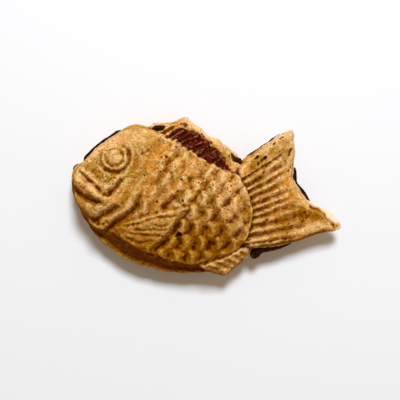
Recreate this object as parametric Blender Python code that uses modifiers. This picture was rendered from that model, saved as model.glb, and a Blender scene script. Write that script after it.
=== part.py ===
"""Taiyaki: a fish-shaped cake of two baked halves round a sweet bean filling, lying on its side.

The crust is one solid, because its two halves are baked together along the seam. The bean paste
is a second solid, which fills the body and the tail and comes out where the seam has opened.

Outlines and relief are drawn in millimetres on a sheet, with x to the right and y down the sheet,
as the fish is seen from above with its head to the left. The model has +X to the tail, +Y to the
back fin and +Z up, with its origin under the middle of the fish, on the surface that it lies on.
"""
import math

import bmesh
import bpy
import numpy as np

MM = 0.001
SHEET_CENTRE = (103.25, 98.27)  # the middle of the fish on the sheet

# Heights, measured from the seam between the two halves
SEAM_Z = 14.0                   # the seam above the surface
LIP = 1.3                       # half the thickness of the lip along the seam
LIP_WIDTH = 0.7
CROWN_EDGE = 9.7                # where the steep wall turns into the face
CROWN_RISE = 3.2                # how far the face swells above that edge
UNDERSIDE_RISE = 4.0            # the same on the underside, whose middle is pressed flat
SWELL_WIDTH = 21.0              # distance over which the face swells
WALL_ROUNDNESS = 0.75           # under 1 for a wall that is steep at its foot
UNDERSIDE_INSET = 4.5           # width of the wall all round the underside
UNDERSIDE_RELIEF = 0.8          # how strong its relief is beside the upper side's
TAIL_PLATE = 4.0
FIN_PLATE = 3.9
BELLY_FIN_CLIMB = 4.2           # how far the belly fin rises onto the body
VALLEY_DEPTH = 1.6              # the back fin's hollow below its rim
EDGE_WIDTH = 2.0                # width of the rounded edge of the tail and the fins

# Filling
SHELL = 3.0                     # thickness of the crust
TAIL_FILLING = 1.5              # half the thickness of the filling in the tail
LEAK = 0.5                      # half the thickness of what comes out at the seam
VALLEY_FILLING = 3.1            # top of the filling beside the back fin
FIN_GAP_FILLING = 2.0           # and in front of it
FIN_TIP_FILLING = 4.2           # and at its rear tip
GAP = 0.35                      # clearance between crust and filling
SHARPEST_CORNER = 1.5           # how much further than that clearance a sharp corner moves

# Meshing
CELL = 0.55                     # spacing of the surface that the relief is pressed into
PASTE_CELL = 0.8
CRUST_TRIANGLES = 7800
PASTE_TRIANGLES = 1700

# Relief seen on the raised face is drawn a little large, because it is nearer to the eye
EYE_AXIS = (100.0, 100.0)
FACE_SCALE = 0.977

BODY = ((42, 80.3), (39, 82.6), (36.5, 86), (36, 92), (37, 97.5), (39.5, 103.5), (43.5, 110.5),
        (49, 118.2), (57.5, 125), (68, 130.8), (80, 134.2), (92, 136), (102, 135.8), (111, 133),
        (118.5, 128.5), (123.5, 122.5), (126.3, 115), (126.8, 106.5), (125.6, 99.5), (123, 93),
        (119.5, 87.2), (113, 83.6), (106, 79.6), (99.5, 74.6), (92.5, 70.2), (85, 67.4),
        (79, 65.2), (73, 62.8), (67, 62), (60.5, 65), (53, 70), (47, 74.8))
CROWN = ((40, 84), (37.5, 88), (37.2, 95), (38.5, 101), (42, 106.5), (47.5, 113), (54, 116.5),
         (60, 121.5), (66.5, 125), (74, 126.5), (81, 128.5), (90, 131.2), (96, 132), (102.5, 130),
         (110, 128), (117.5, 125), (122.5, 120.5), (125.5, 113), (126.2, 106), (125, 99.5),
         (123, 93.5), (120, 88), (116, 85.5), (108, 82), (100, 76), (92.5, 71.5), (85, 69.2),
         (78.5, 66.5), (71.5, 64.8), (63.5, 65), (56, 69), (48.5, 74.8), (43, 80))
TAIL = ((118, 88), (118, 118), (123, 123.8), (131, 123.5), (138.5, 122.8), (146.5, 120.2),
        (156, 117.2), (165, 115), (169.5, 114.2), (170.5, 113), (167.5, 110), (162.5, 106),
        (156.5, 102.4), (153.5, 100), (150.2, 95), (147.3, 90), (146.8, 85), (147.5, 79),
        (147.2, 70), (147.2, 64.5), (146.6, 63.4), (145, 65.8), (138, 68.5), (131, 73.5),
        (125, 77.5), (121, 80.5))
TAIL_CORE = ((116, 90), (116, 116), (125, 120), (138, 119.5), (150, 116), (158, 113.5),
             (155, 107), (150.5, 102), (146, 96), (143.5, 88), (144, 80), (143.5, 71), (138, 73),
             (131, 78), (124, 82.5))
BACK_FIN = ((74.5, 65), (76, 62), (81, 61.2), (87.5, 60.5), (90.5, 59), (93.5, 58.5), (96, 60.8),
            (100.5, 64.2), (104.5, 67.2), (109.5, 70), (114.5, 74), (118.5, 77), (120.8, 79.8),
            (121.5, 84), (120, 89), (110, 88), (96, 79), (81, 70))
BELLY_FIN = ((100.5, 131), (101, 134), (106, 136.2), (109.5, 137.2), (112.5, 138.2),
             (115, 136.3), (118.5, 133.5), (122, 130.5), (125, 126.5), (125, 122.8), (121, 122.5),
             (112, 126.5))

# Where the filling shows: beside the back fin, in front of it and at its rear tip
VALLEY = ((85.5, 67.6), (89.5, 64.4), (93.5, 63.6), (97.5, 65.6), (101.2, 68.8), (105.6, 73.2),
          (110, 77.4), (114, 80.6), (117.5, 85), (116, 88), (110, 87), (103, 83.5), (96, 78.5),
          (90, 74.5), (86, 71))
FIN_GAP = ((75, 65.2), (76.5, 63), (79.5, 62.4), (82, 63.4), (82, 66), (79, 69), (76, 69))
FIN_TIP = ((115.6, 76), (118.2, 76.2), (121.2, 79.2), (120.6, 82.6), (118, 84), (115.5, 82),
           (116, 79))
# Where it comes out at the seam: forehead, snout, tail's upper edge, tail's end, under its root
FOREHEAD_LEAK = ((42, 79.3), (43, 77.8), (45.4, 75.3), (48.1, 72.8), (51.5, 70.1), (55.4, 67.6),
                 (59.8, 64.8), (63, 66), (60, 72), (50, 79), (44, 84))
SNOUT_LEAK = ((36.1, 85), (36.7, 83.2), (39.2, 81.7), (43, 83), (44, 88), (39, 89))
TAIL_EDGE_LEAK = ((123, 78.4), (130.8, 73), (137.8, 68), (143, 66), (143, 69), (137, 74),
                  (126, 82))
TAIL_END_LEAK = ((147.2, 83.5), (148.9, 87.5), (149.3, 91), (152.4, 95), (154.6, 98.8),
                 (156.2, 102), (152, 102.5), (146, 96), (143, 88))
ROOT_LEAK = ((124, 122), (125.5, 127.2), (128, 128.7), (130.4, 127), (133, 124.6),
             (138, 123.5), (143, 122.3), (143, 119), (128, 117))

# Face relief: paths of the ridges and grooves
UPPER_LIP = ((40.5, 85.5), (46, 90), (51, 94), (53.5, 95), (58.5, 91.5), (62, 88.5))
UPPER_LIP_GROOVE = ((40, 86.2), (44.5, 90), (49, 94.5), (52.5, 97.3), (55.5, 95.5), (62.5, 89.8))
LOWER_LIP = ((38.5, 88), (42.5, 92), (46.5, 95.5), (49.5, 97.5))
LOWER_LIP_GROOVE = ((37.5, 93.5), (41, 95.8), (45, 98.8), (48.5, 100.2), (51, 100))
CHIN = ((43, 103), (48, 105.5), (52, 103.5))
CHIN_GROOVE = ((45, 109), (49.5, 109.6), (53, 107.5), (56.5, 105.2), (60, 103))
GILL_GROOVE = ((49, 116), (53, 115.5), (57, 112), (62, 109.5), (66.5, 106.8), (69.5, 102.8),
               (72, 99.5), (73.5, 94))
BROW_GROOVE = ((70, 77), (75.5, 74.5))
SIDE_FIN = ((55, 116), (61, 111), (67, 109.6), (72.5, 108.5), (78.5, 106.8), (85, 105),
            (93.5, 104), (91, 107), (88.5, 110.5), (86, 114), (82.5, 118), (79, 121.5), (75, 125),
            (72.5, 126.3), (67, 125), (62.5, 122.5), (57.5, 119))
SIDE_FIN_ROOT = (60.0, 116.0)
SIDE_FIN_GROOVES = (-14.0, -4.0, 8.0, 20.0, 33.0)   # degrees round that root
SIDE_FIN_HEIGHT = 1.6
SIDE_FIN_GROOVE = (0.8, 0.8)    # width and depth
HEAD_RISE = 0.9                 # the head above the foot of the scales

# Each mark on the face: its path, its width and its height
FACE_MARKS = ((UPPER_LIP, 1.6, 1.1), (LOWER_LIP, 2.3, 1.4), (CHIN, 4.0, 1.0),
              (UPPER_LIP_GROOVE, 0.9, -1.4), (LOWER_LIP_GROOVE, 1.2, -1.8),
              (CHIN_GROOVE, 1.5, -1.5), (BROW_GROOVE, 0.9, -0.5), (GILL_GROOVE, 1.3, -1.3))

EYE = (57.5, 78.3)
EYEBALL = (3.4, 1.4)            # radius and height
EYE_RINGS = ((4.6, 0.7, -0.5), (5.8, 0.8, 1.0), (7.3, 0.8, -1.1),
             (8.7, 0.9, 0.4))   # radius, width and height of each

# Tail rays spread from a point far forward in the body
RAY_CENTRE = (49.5, 134.0)
RAY_GROOVES = (9.8, 12.8, 15.8, 18.3, 20.5, 23.2, 25.3, 27.5, 29.6, 32.9)   # degrees
RAY_ENDS = ((9.0, 108.0), (12.8, 115.0), (16.0, 113.0), (18.3, 104.0), (25.0, 104.0),
            (29.0, 106.0), (33.0, 111.0))           # degrees, distance from that point
RAY_HEIGHT = 1.1

# Scales
SCALE_START = (96.6, 99.4)
SCALE_PITCH = (8.05, 7.65)      # along a row and from row to row
SCALE_LEAN = 2.8                # each row starts this much nearer to the tail
ROW_SLOPE = 0.25                # how steeply a row runs down to the tail at its start
ROW_BEND = 0.0035               # and how much it levels out in each millimetre
SCALE_TILT = 20.0               # degrees by which a scale points up the sheet
SCALE_SIZE = (4.7, 5.5)         # half its length and half its width
SCALE_MIDDLE = (-4.6, -0.8)     # its middle, from the pit behind it
SCALE_HEIGHT = 1.5
PIT_SIZE = 1.3
PIT_DEPTH = 1.2

# Parallel rays: degrees above the sheet's x axis, pitch and height
BACK_FIN_RAYS = (35.0, 3.4, 0.7)
BELLY_FIN_RAYS = (-30.0, 3.3, 1.0)
FILLING_RAYS = (22.0, 3.0, 0.8)

CRUST_COLOUR = (0.54, 0.30, 0.09, 1.0)
PASTE_COLOUR = (0.075, 0.012, 0.005, 1.0)


def clear_scene():
    for item in list(bpy.data.objects):
        bpy.data.objects.remove(item, do_unlink=True)


def new_collection(name):
    collection = bpy.data.collections.new(name)
    bpy.context.scene.collection.children.link(collection)
    return collection


def food_material(name, colour, roughness):
    material = bpy.data.materials.new(name)
    material.use_nodes = True
    shader = material.node_tree.nodes["Principled BSDF"]
    shader.inputs["Base Color"].default_value = colour
    shader.inputs["Roughness"].default_value = roughness
    shader.inputs["Metallic"].default_value = 0.0
    return material


def smooth_path(points, closed, steps=5):
    """A Catmull-Rom curve through the points."""
    points = np.array(points, float)
    if closed:
        padded = np.vstack((points[-1], points, points[0], points[1]))
    else:
        padded = np.vstack((points[0], points, points[-1]))
    curve = []
    for before, start, end, after in zip(padded, padded[1:], padded[2:], padded[3:]):
        for t in np.arange(steps) / steps:
            bend = (2 * before - 5 * start + 4 * end - after) * t ** 2
            twist = (3 * start - before - 3 * end + after) * t ** 3
            curve.append(0.5 * (2 * start + (end - before) * t + bend + twist))
    if not closed:
        curve.append(points[-1])
    return np.array(curve)


def inset(curve, distance):
    """The closed curve moved inwards."""
    along = np.roll(curve, -1, axis=0) - np.roll(curve, 1, axis=0)
    outwards = np.column_stack((along[:, 1], -along[:, 0]))
    outwards /= np.linalg.norm(outwards, axis=1)[:, None]
    ahead = np.roll(curve, -1, axis=0)
    turning = np.sum(curve[:, 0] * ahead[:, 1] - ahead[:, 0] * curve[:, 1])
    return curve - outwards * distance * math.copysign(1, turning)


def segment_distance(start, end, x, y):
    edge = end - start
    along = ((x - start[0]) * edge[0] + (y - start[1]) * edge[1]) / max(edge @ edge, 1e-9)
    along = np.clip(along, 0, 1)
    return np.hypot(x - start[0] - along * edge[0], y - start[1] - along * edge[1]), along


def depth_inside(curve, x, y):
    """Distance to a closed curve, positive inside it."""
    nearest = np.full(x.shape, np.inf)
    inside = np.zeros(x.shape, bool)
    for start, end in zip(curve, np.roll(curve, -1, axis=0)):
        nearest = np.minimum(nearest, segment_distance(start, end, x, y)[0])
        rise = end[1] - start[1]
        if rise:
            crossed = (start[1] > y) != (end[1] > y)
            inside ^= crossed & (x < start[0] + (end[0] - start[0]) * (y - start[1]) / rise)
    return np.where(inside, nearest, -nearest)


def stroke(path, width, x, y):
    """A soft mark along a path: 1 on it, fading to 0 over the width, tapered at both ends."""
    curve = smooth_path(path, closed=False, steps=4)
    last = len(curve) - 1
    nearest = np.full(x.shape, np.inf)
    place = np.zeros(x.shape)
    for index, (start, end) in enumerate(zip(curve, curve[1:])):
        distance, along = segment_distance(start, end, x, y)
        closer = distance < nearest
        nearest = np.where(closer, distance, nearest)
        place = np.where(closer, (index + along) / last, place)
    taper = np.clip(np.minimum(place, 1 - place) / 0.12, 0.35, 1)
    return np.exp(-(nearest / width) ** 2) * taper


def ease(value, low, high):
    """0 below low, 1 above high and a smooth step between."""
    t = np.clip((value - low) / (high - low), 0, 1)
    return t * t * (3 - 2 * t)


def rounded_edge(depth, height):
    """A plate of that height above the seam, whose edge starts at the lip."""
    inner = np.clip((depth - LIP_WIDTH) / EDGE_WIDTH, 0, 1)
    return LIP + (height - LIP) * np.sqrt(1 - (1 - inner) ** 2)


def body_form(x, y, underside):
    """Height of the smooth body over the seam, and the depth inside the edge of its face."""
    in_body = depth_inside(smooth_path(BODY, closed=True), x, y)
    if underside:
        in_face = in_body - UNDERSIDE_INSET
        rise = UNDERSIDE_RISE
    else:
        in_face = depth_inside(placed_on_face(smooth_path(CROWN, closed=True)), x, y)
        rise = CROWN_RISE
    in_wall = in_body - LIP_WIDTH
    climb = np.clip(in_wall / np.maximum(in_wall - in_face, 0.05), 0, 1)
    wall = np.sin(climb * math.pi / 2) ** WALL_ROUNDNESS
    swell = 1 - (1 - np.clip(in_face / SWELL_WIDTH, 0, 1)) ** 2
    height = LIP + (CROWN_EDGE - LIP) * wall + rise * swell
    return np.where(in_body > 0, height, 0), in_face


def placed_on_face(points):
    return np.array(EYE_AXIS) + (np.array(points) - EYE_AXIS) * FACE_SCALE


def on_face(x, y):
    """Where a point of the face lies on the sheet's drawing of the relief."""
    return (EYE_AXIS[0] + (x - EYE_AXIS[0]) / FACE_SCALE,
            EYE_AXIS[1] + (y - EYE_AXIS[1]) / FACE_SCALE)


def eye_relief(x, y):
    radius = np.hypot(x - EYE[0], y - EYE[1])
    ball, height = EYEBALL
    relief = height * np.exp(-(radius / ball) ** 3)
    for ring, width, height in EYE_RINGS:
        relief = relief + height * np.exp(-((radius - ring) / width) ** 2)
    return relief


def side_fin_relief(x, y):
    """The fin on the flank: a plate with a raised upper rim and spreading rays."""
    depth = depth_inside(smooth_path(SIDE_FIN, closed=True), x, y)
    plate = SIDE_FIN_HEIGHT * ease(depth, -0.4, 1.2)
    angle = np.degrees(np.arctan2(y - SIDE_FIN_ROOT[1], x - SIDE_FIN_ROOT[0]))
    reach = np.hypot(x - SIDE_FIN_ROOT[0], y - SIDE_FIN_ROOT[1])
    grooves = np.zeros(x.shape)
    width, deep = SIDE_FIN_GROOVE
    for groove in SIDE_FIN_GROOVES:
        across = np.radians(angle - groove) * reach
        grooves = np.maximum(grooves, np.exp(-(across / width) ** 2))
    return plate - deep * grooves * ease(depth, 0.5, 2.5) * ease(reach, 4, 9)


def scale_relief(x, y):
    """Overlapping scales, each rising to a rounded rim with a pit behind it on its tail side."""
    relief = np.zeros(x.shape)
    pits = np.zeros(x.shape)
    lean = math.radians(SCALE_TILT)
    for row in range(-6, 7):
        for place in range(-8, 7):
            run = place * SCALE_PITCH[0]
            pit_x = SCALE_START[0] + run + row * SCALE_LEAN
            pit_y = (SCALE_START[1] + ROW_SLOPE * run - ROW_BEND * run ** 2
                     + row * SCALE_PITCH[1])
            near = np.hypot(x - pit_x, y - pit_y) < 1.5 * SCALE_PITCH[0]
            from_x = x[near] - pit_x
            from_y = y[near] - pit_y
            out_x = from_x - SCALE_MIDDLE[0]
            out_y = from_y - SCALE_MIDDLE[1]
            along = out_x * math.cos(lean) - out_y * math.sin(lean)
            across = out_x * math.sin(lean) + out_y * math.cos(lean)
            reach = np.hypot(along / SCALE_SIZE[0], across / SCALE_SIZE[1])
            rim = 1 - ease(reach, 0.6, 1.0)
            lift = 0.3 + 0.7 * np.clip(along / (2 * SCALE_SIZE[0]) + 0.5, 0, 1)
            relief[near] = np.maximum(relief[near], SCALE_HEIGHT * rim * lift)
            pit = np.hypot(0.8 * from_x + 0.6 * from_y, 0.5 * (0.8 * from_y - 0.6 * from_x))
            pits[near] += np.exp(-(pit / PIT_SIZE) ** 2)
    return relief - PIT_DEPTH * pits


def face_relief(x, y):
    x, y = on_face(x, y)
    head = 1 - ease(x + 0.45 * (y - 100), 70, 76)
    in_fin = ease(depth_inside(smooth_path(SIDE_FIN, closed=True), x, y), -1.5, 0)
    deeper = 0.7 + 0.3 * ease(x + y, 165, 215)
    scales = scale_relief(x, y) * (1 - head) * (1 - in_fin) * deeper
    relief = HEAD_RISE * head + scales + eye_relief(x, y) + side_fin_relief(x, y)
    for path, width, height in FACE_MARKS:
        relief = relief + height * stroke(path, width, x, y)
    return relief


def tail_relief(x, y):
    """Rays between the grooves that spread over the tail."""
    across = x - RAY_CENTRE[0]
    up = RAY_CENTRE[1] - y
    angle = np.degrees(np.arctan2(up, across))
    reach = np.hypot(across, up)
    phase = np.interp(angle, RAY_GROOVES, np.arange(len(RAY_GROOVES)), left=-0.5,
                      right=len(RAY_GROOVES) - 0.5)
    ray = 0.5 - 0.5 * np.cos(2 * math.pi * phase)
    end = np.interp(angle, *zip(*RAY_ENDS))
    strength = 1 - ease(reach, end - 6, end + 1)
    return RAY_HEIGHT * (ray * strength + 0.5 * (1 - strength))


def tail_form(x, y):
    depth = depth_inside(smooth_path(TAIL, closed=True), x, y)
    return np.where(depth > 0, rounded_edge(depth, TAIL_PLATE + tail_relief(x, y)), 0)


def slanted_rays(x, y, rays):
    degrees, pitch, height = rays
    across = x * math.sin(math.radians(degrees)) + y * math.cos(math.radians(degrees))
    return height * (0.5 + 0.5 * np.cos(2 * math.pi * across / pitch))


def back_fin_form(x, y, underside):
    """The fin along the back: on the upper side a rim round the valley of filling."""
    depth = depth_inside(smooth_path(BACK_FIN, closed=True), x, y)
    plate = rounded_edge(depth, FIN_PLATE) + slanted_rays(x, y, BACK_FIN_RAYS) * ease(depth, 2, 4)
    if not underside:
        in_valley = depth_inside(smooth_path(VALLEY, closed=True), x, y)
        plate = plate - VALLEY_DEPTH * ease(in_valley, -1, 0.5)
    return np.where(depth > 0, plate, 0)


def belly_fin_form(x, y):
    """The small fin under the belly, which climbs to the edge of the face."""
    depth = depth_inside(smooth_path(BELLY_FIN, closed=True), x, y)
    in_body = depth_inside(smooth_path(BODY, closed=True), x, y)
    plate = FIN_PLATE + BELLY_FIN_CLIMB * ease(in_body, -3, 4) + slanted_rays(x, y, BELLY_FIN_RAYS)
    return np.where(depth > 0, rounded_edge(depth, plate), 0)


def crust_height(x, y, underside):
    """Height of the crust's outer surface over the seam, on one side of it."""
    body, in_face = body_form(x, y, underside)
    strength = UNDERSIDE_RELIEF if underside else 1.0
    body = body + strength * face_relief(x, y) * ease(in_face, -1.6, 0.6)
    return np.maximum.reduce((body, tail_form(x, y), back_fin_form(x, y, underside),
                              belly_fin_form(x, y), np.full(x.shape, LIP)))


def paste_height(x, y, underside):
    """Height of the filling's surface over the seam, on one side of it."""
    body, _ = body_form(x, y, underside)
    in_shell = depth_inside(smooth_path(BODY, closed=True), x, y) - SHELL
    lens = (body - SHELL) * ease(in_shell, 0, 2.5)
    in_tail = depth_inside(smooth_path(TAIL_CORE, closed=True), x, y)
    tail = TAIL_FILLING * ease(in_tail, -0.5, 1)
    height = np.maximum.reduce((lens, tail, np.full(x.shape, LEAK)))
    if not underside:
        rays = slanted_rays(x, y, FILLING_RAYS) * (1 - ease(x, 98, 110))
        for outline, top in ((VALLEY, VALLEY_FILLING), (FIN_GAP, FIN_GAP_FILLING),
                             (FIN_TIP, FIN_TIP_FILLING)):
            depth = depth_inside(smooth_path(outline, closed=True), x, y)
            bulge = LEAK + (top - LEAK) * ease(depth, -0.4, 0.8) + rays * ease(depth, 0.6, 1.6)
            height = np.where(depth > -0.4, np.maximum(height, bulge), height)
    return height


def flat_slab(name, outlines, cell, collection):
    """One flat slab, two units thick, over all of the outlines together."""
    joined = bmesh.new()
    for outline in outlines:
        curve = bpy.data.curves.new(name + "_outline", "CURVE")
        curve.dimensions = "2D"
        curve.fill_mode = "BOTH"
        curve.extrude = MM
        spline = curve.splines.new("POLY")
        corners = [(x - SHEET_CENTRE[0], SHEET_CENTRE[1] - y) for x, y in outline]
        spline.points.add(len(corners) - 1)
        for point, (x, y) in zip(spline.points, corners):
            point.co = (x * MM, y * MM, 0, 1)
        spline.use_cyclic_u = True
        holder = bpy.data.objects.new(name + "_outline", curve)
        collection.objects.link(holder)
        bpy.context.view_layer.update()
        filled = bpy.data.meshes.new_from_object(holder.evaluated_get(depsgraph()))
        joined.from_mesh(filled)
        bpy.data.objects.remove(holder)
    bmesh.ops.remove_doubles(joined, verts=joined.verts, dist=0.00001)
    mesh = bpy.data.meshes.new(name)
    joined.to_mesh(mesh)
    joined.free()
    slab = bpy.data.objects.new(name, mesh)
    collection.objects.link(slab)
    remesh = slab.modifiers.new("Even surface", "REMESH")
    remesh.mode = "VOXEL"
    remesh.voxel_size = cell * MM
    bpy.context.view_layer.update()
    slab.data = bpy.data.meshes.new_from_object(slab.evaluated_get(depsgraph()))
    slab.modifiers.clear()
    return slab


def depsgraph():
    return bpy.context.evaluated_depsgraph_get()


def press_relief(slab, height):
    """Move the slab's two faces to their heights over and under the seam."""
    mesh = slab.data
    points = np.empty(len(mesh.vertices) * 3)
    mesh.vertices.foreach_get("co", points)
    points = points.reshape(-1, 3)
    x = points[:, 0] / MM + SHEET_CENTRE[0]
    y = SHEET_CENTRE[1] - points[:, 1] / MM
    share = points[:, 2] / np.abs(points[:, 2]).max()
    over = height(x, y, False)
    under = height(x, y, True)
    points[:, 2] = (SEAM_Z + np.where(share > 0, share * over, share * under)) * MM
    mesh.vertices.foreach_set("co", points.ravel())
    mesh.update()


def thin_out(item, triangles):
    """Keep about that many triangles, where the surface bends most."""
    quads = len(item.data.polygons)
    decimate = item.modifiers.new("Fewer faces", "DECIMATE")
    decimate.ratio = triangles / (2 * quads)


def cut_away(item, cutter, solver="EXACT"):
    boolean = item.modifiers.new("Cut " + cutter.name, "BOOLEAN")
    boolean.operation = "DIFFERENCE"
    boolean.solver = solver
    boolean.object = cutter


def hide_cutter(cutter):
    cutter.hide_render = True
    cutter.display_type = "WIRE"


def clearance_cutter(item, gap, collection):
    """The same solid, a little larger all round."""
    grown_mesh = bmesh.new()
    bpy.context.view_layer.update()
    grown_mesh.from_mesh(bpy.data.meshes.new_from_object(item.evaluated_get(depsgraph())))
    for corner in grown_mesh.verts:
        corner.co += corner.normal * min(corner.calc_shell_factor(), SHARPEST_CORNER) * gap
    mesh = bpy.data.meshes.new(item.name + "_clearance")
    grown_mesh.to_mesh(mesh)
    grown_mesh.free()
    cutter = bpy.data.objects.new(item.name + "_clearance", mesh)
    collection.objects.link(cutter)
    hide_cutter(cutter)
    return cutter


def floor_block(collection):
    """A block whose top is the surface: it presses the underside flat."""
    bpy.ops.mesh.primitive_cube_add(size=0.2, location=(0, 0, -0.1))
    block = bpy.context.object
    block.name = "surface"
    for holder in block.users_collection:
        holder.objects.unlink(block)
    collection.objects.link(block)
    hide_cutter(block)
    return block


def main():
    clear_scene()
    parts = new_collection("taiyaki")
    cutters = new_collection("cutters")

    leaks = (VALLEY, FIN_GAP, FIN_TIP, FOREHEAD_LEAK, SNOUT_LEAK, TAIL_EDGE_LEAK, TAIL_END_LEAK,
             ROOT_LEAK)
    inside = [inset(smooth_path(BODY, closed=True), SHELL), smooth_path(TAIL_CORE, closed=True)]
    shown = [smooth_path(leak, closed=True) for leak in leaks]
    paste = flat_slab("bean_paste", inside + shown, PASTE_CELL, parts)
    press_relief(paste, paste_height)
    thin_out(paste, PASTE_TRIANGLES)
    paste.data.materials.append(food_material("bean_paste", PASTE_COLOUR, 0.35))
    cavity = clearance_cutter(paste, GAP * MM, cutters)

    outlines = [smooth_path(part, closed=True) for part in (BODY, TAIL, BACK_FIN, BELLY_FIN)]
    crust = flat_slab("crust", outlines, CELL, parts)
    press_relief(crust, crust_height)
    thin_out(crust, CRUST_TRIANGLES)
    cut_away(crust, cavity, solver="MANIFOLD")      # the cavity's creases fold onto themselves
    cut_away(crust, floor_block(cutters))
    crust.data.materials.append(food_material("crust", CRUST_COLOUR, 0.7))


main()
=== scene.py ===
import itertools
import math

import bmesh
import bpy
import numpy as np
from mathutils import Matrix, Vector
from mathutils.kdtree import KDTree


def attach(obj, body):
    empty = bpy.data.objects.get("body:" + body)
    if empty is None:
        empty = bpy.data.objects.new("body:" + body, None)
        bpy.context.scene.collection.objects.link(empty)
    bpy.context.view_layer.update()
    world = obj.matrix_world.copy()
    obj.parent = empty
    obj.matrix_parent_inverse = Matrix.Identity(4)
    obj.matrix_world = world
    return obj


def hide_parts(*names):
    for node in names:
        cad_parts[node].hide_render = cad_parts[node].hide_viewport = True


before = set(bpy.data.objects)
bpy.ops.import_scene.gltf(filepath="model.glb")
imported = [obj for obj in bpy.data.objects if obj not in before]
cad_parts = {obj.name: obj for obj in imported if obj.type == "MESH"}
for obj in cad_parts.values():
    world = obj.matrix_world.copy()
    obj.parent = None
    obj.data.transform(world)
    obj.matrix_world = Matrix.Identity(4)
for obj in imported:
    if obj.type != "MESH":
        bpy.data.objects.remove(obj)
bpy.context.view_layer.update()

# The looks of a taiyaki: the baked crust in two halves and the bean paste between them.
#
# Shapes are drawn in millimetres on a sheet, with x to the right and y down the sheet, as the fish
# is seen from above. The model has +X to the tail, +Y to the back fin and +Z up.

MM = 0.001
SHEET_CENTRE = (103.25, 98.27)   # where the model's origin lies on the sheet
VIEW_AXIS = (100.0, 100.0)       # the point of the sheet that the camera looks straight down on
FACE_SCALE = 0.977               # the raised face lies nearer to the camera than the seam

# Crust: the seam's height, heights over the seam, widths and roundness
SEAM_Z = 14.0
LIP = 1.3
LIP_WIDTH = 0.7
BELLY_LIP_WIDTH = 2.6
CROWN_EDGE = 9.7
CROWN_RISE = 3.2
UNDERSIDE_RISE = 4.0
SWELL_WIDTH = 21.0
WALL_ROUNDNESS = 1.15
BELLY_WALL_ROUNDNESS = 1.2
BELLY_NARROWING = 0.4
UNDERSIDE_INSET = 4.5
UNDERSIDE_RELIEF = 0.8
TAIL_PLATE = 4.0
FIN_PLATE = 3.9
BELLY_FIN_CLIMB = 5.4
VALLEY_FLOOR = 2.2
EDGE_WIDTH = 2.0

# Filling: the crust's thickness over it, and heights over the seam
SHELL = 3.0
TAIL_FILLING = 1.5
LEAK = 0.5
VALLEY_FILLING = 3.1
FIN_GAP_FILLING = 2.0
FIN_TIP_FILLING = 2.8
BULGE_EDGE = (-0.4, 0.8)       # over these depths the filling bulges up where it shows

# Meshing
CELL = 0.42
EVEN_CELL = 0.395
PASTE_CELL = 0.45
FINE_ROUNDS = 8                # of smoothing, to find the points that lie below their surroundings
BROAD_ROUNDS = 50
PASTE_ROUNDS = 12

# Layers of noise: size, seed and share
WANDER_X = ((7.0, 1, 0.45), (2.6, 2, 0.2))
WANDER_Y = ((7.0, 3, 0.45), (2.6, 4, 0.2))
STRAY_X = ((3.6, 5, 1.0), (1.7, 9, 0.5))
STRAY_Y = ((3.6, 6, 1.0), (1.7, 10, 0.5))
TORN_EDGE = ((1.6, 7, 0.7), (0.8, 8, 0.4))
PORE_CLUSTERS = ((9.0, 32, 1.0), (4.0, 33, 0.6))
PORE_OUTLINE = ((1.3, 34, 0.3),)
CRUMB = ((3.6, 41, 0.25), (1.9, 42, 0.18), (1.05, 43, 0.12), (0.62, 45, 0.06))
SEAM_WANDER = ((9.0, 44, 0.35),)
PASTE_GRAIN = ((1.5, 51, 0.12), (0.8, 52, 0.06))
BAKING = ((10, 61, 0.2),)
FRAYED_LIP = ((1.6, 62, 0.6),)
LEDGE_EDGE = ((2.2, 63, 0.5),)
LIP_GAPS = ((2.4, 64, 1.0),)

BODY = (
    (42, 80.3), (39, 82.6), (36.5, 86), (36, 92), (37, 97.5), (39.5, 103.5), (43.5, 110.5),
    (48.8, 118.5), (57, 125.7), (67.6, 131.7), (79.7, 135.1), (92, 136.4), (102, 135.8),
    (111, 133), (118.5, 128.5), (123.5, 122.5), (126.3, 115), (126.8, 106.5), (125.6, 99.5),
    (123, 93), (119.5, 87.2), (113, 83.6), (106, 79.6), (99.5, 74.6), (92.5, 70.2), (85, 67.4),
    (79, 65.2), (73, 62.8), (67, 62), (60.5, 65), (53, 70), (47, 74.8))
CROWN = (
    (40, 84), (37.5, 88), (37.2, 95), (38.5, 101), (42, 106.5), (47.5, 113), (55.2, 115.4),
    (61.2, 119.4), (67.4, 123.3), (74, 126.3), (81, 128.5), (90, 131.2), (96, 132), (102.5, 130),
    (110, 128), (117.5, 125), (122.5, 120.5), (125.5, 113), (126.2, 106), (125, 99.5), (123, 93.5),
    (120, 88), (116, 85.5), (108, 82), (100, 76), (92.5, 71.5), (85, 69.2), (78.5, 66.5),
    (71.5, 64.8), (63.5, 65), (56, 69), (48.5, 74.8), (43, 80))
TAIL = (
    (118, 88), (118, 118), (123, 123.8), (131, 123.5), (138.5, 122.8), (146.5, 120.9),
    (156, 118.1), (165, 115.7), (169.5, 114.2), (170.5, 113), (169, 110), (164.8, 106),
    (159.3, 102.6), (153.7, 100), (150.2, 95), (147.3, 90), (146.8, 85), (147.5, 79), (147.2, 70),
    (147, 66), (145.6, 64.4), (143, 65.8), (138, 68.5), (131, 73.5), (125, 77.5), (121, 80.5))
TAIL_CORE = (
    (116, 90), (116, 116), (125, 120), (138, 119.5), (150, 116), (158, 113.5), (155, 107),
    (150.5, 102), (146, 96), (143.5, 88), (144, 80), (143.5, 71), (138, 73), (131, 78), (124, 82.5))
BACK_FIN = (
    (74.5, 65), (76, 62), (81, 61.2), (87.5, 60.5), (90.5, 59), (93.5, 58.4), (95.2, 60.4),
    (98, 62.7), (100.7, 64.2), (102.6, 66.5), (104.8, 68.4), (107.4, 69), (109.8, 69.8),
    (111.4, 71.8), (115.6, 74.8), (118.4, 76.8), (120.8, 79.8), (121.5, 84), (120, 89), (110, 88),
    (96, 79), (81, 70))
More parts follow.
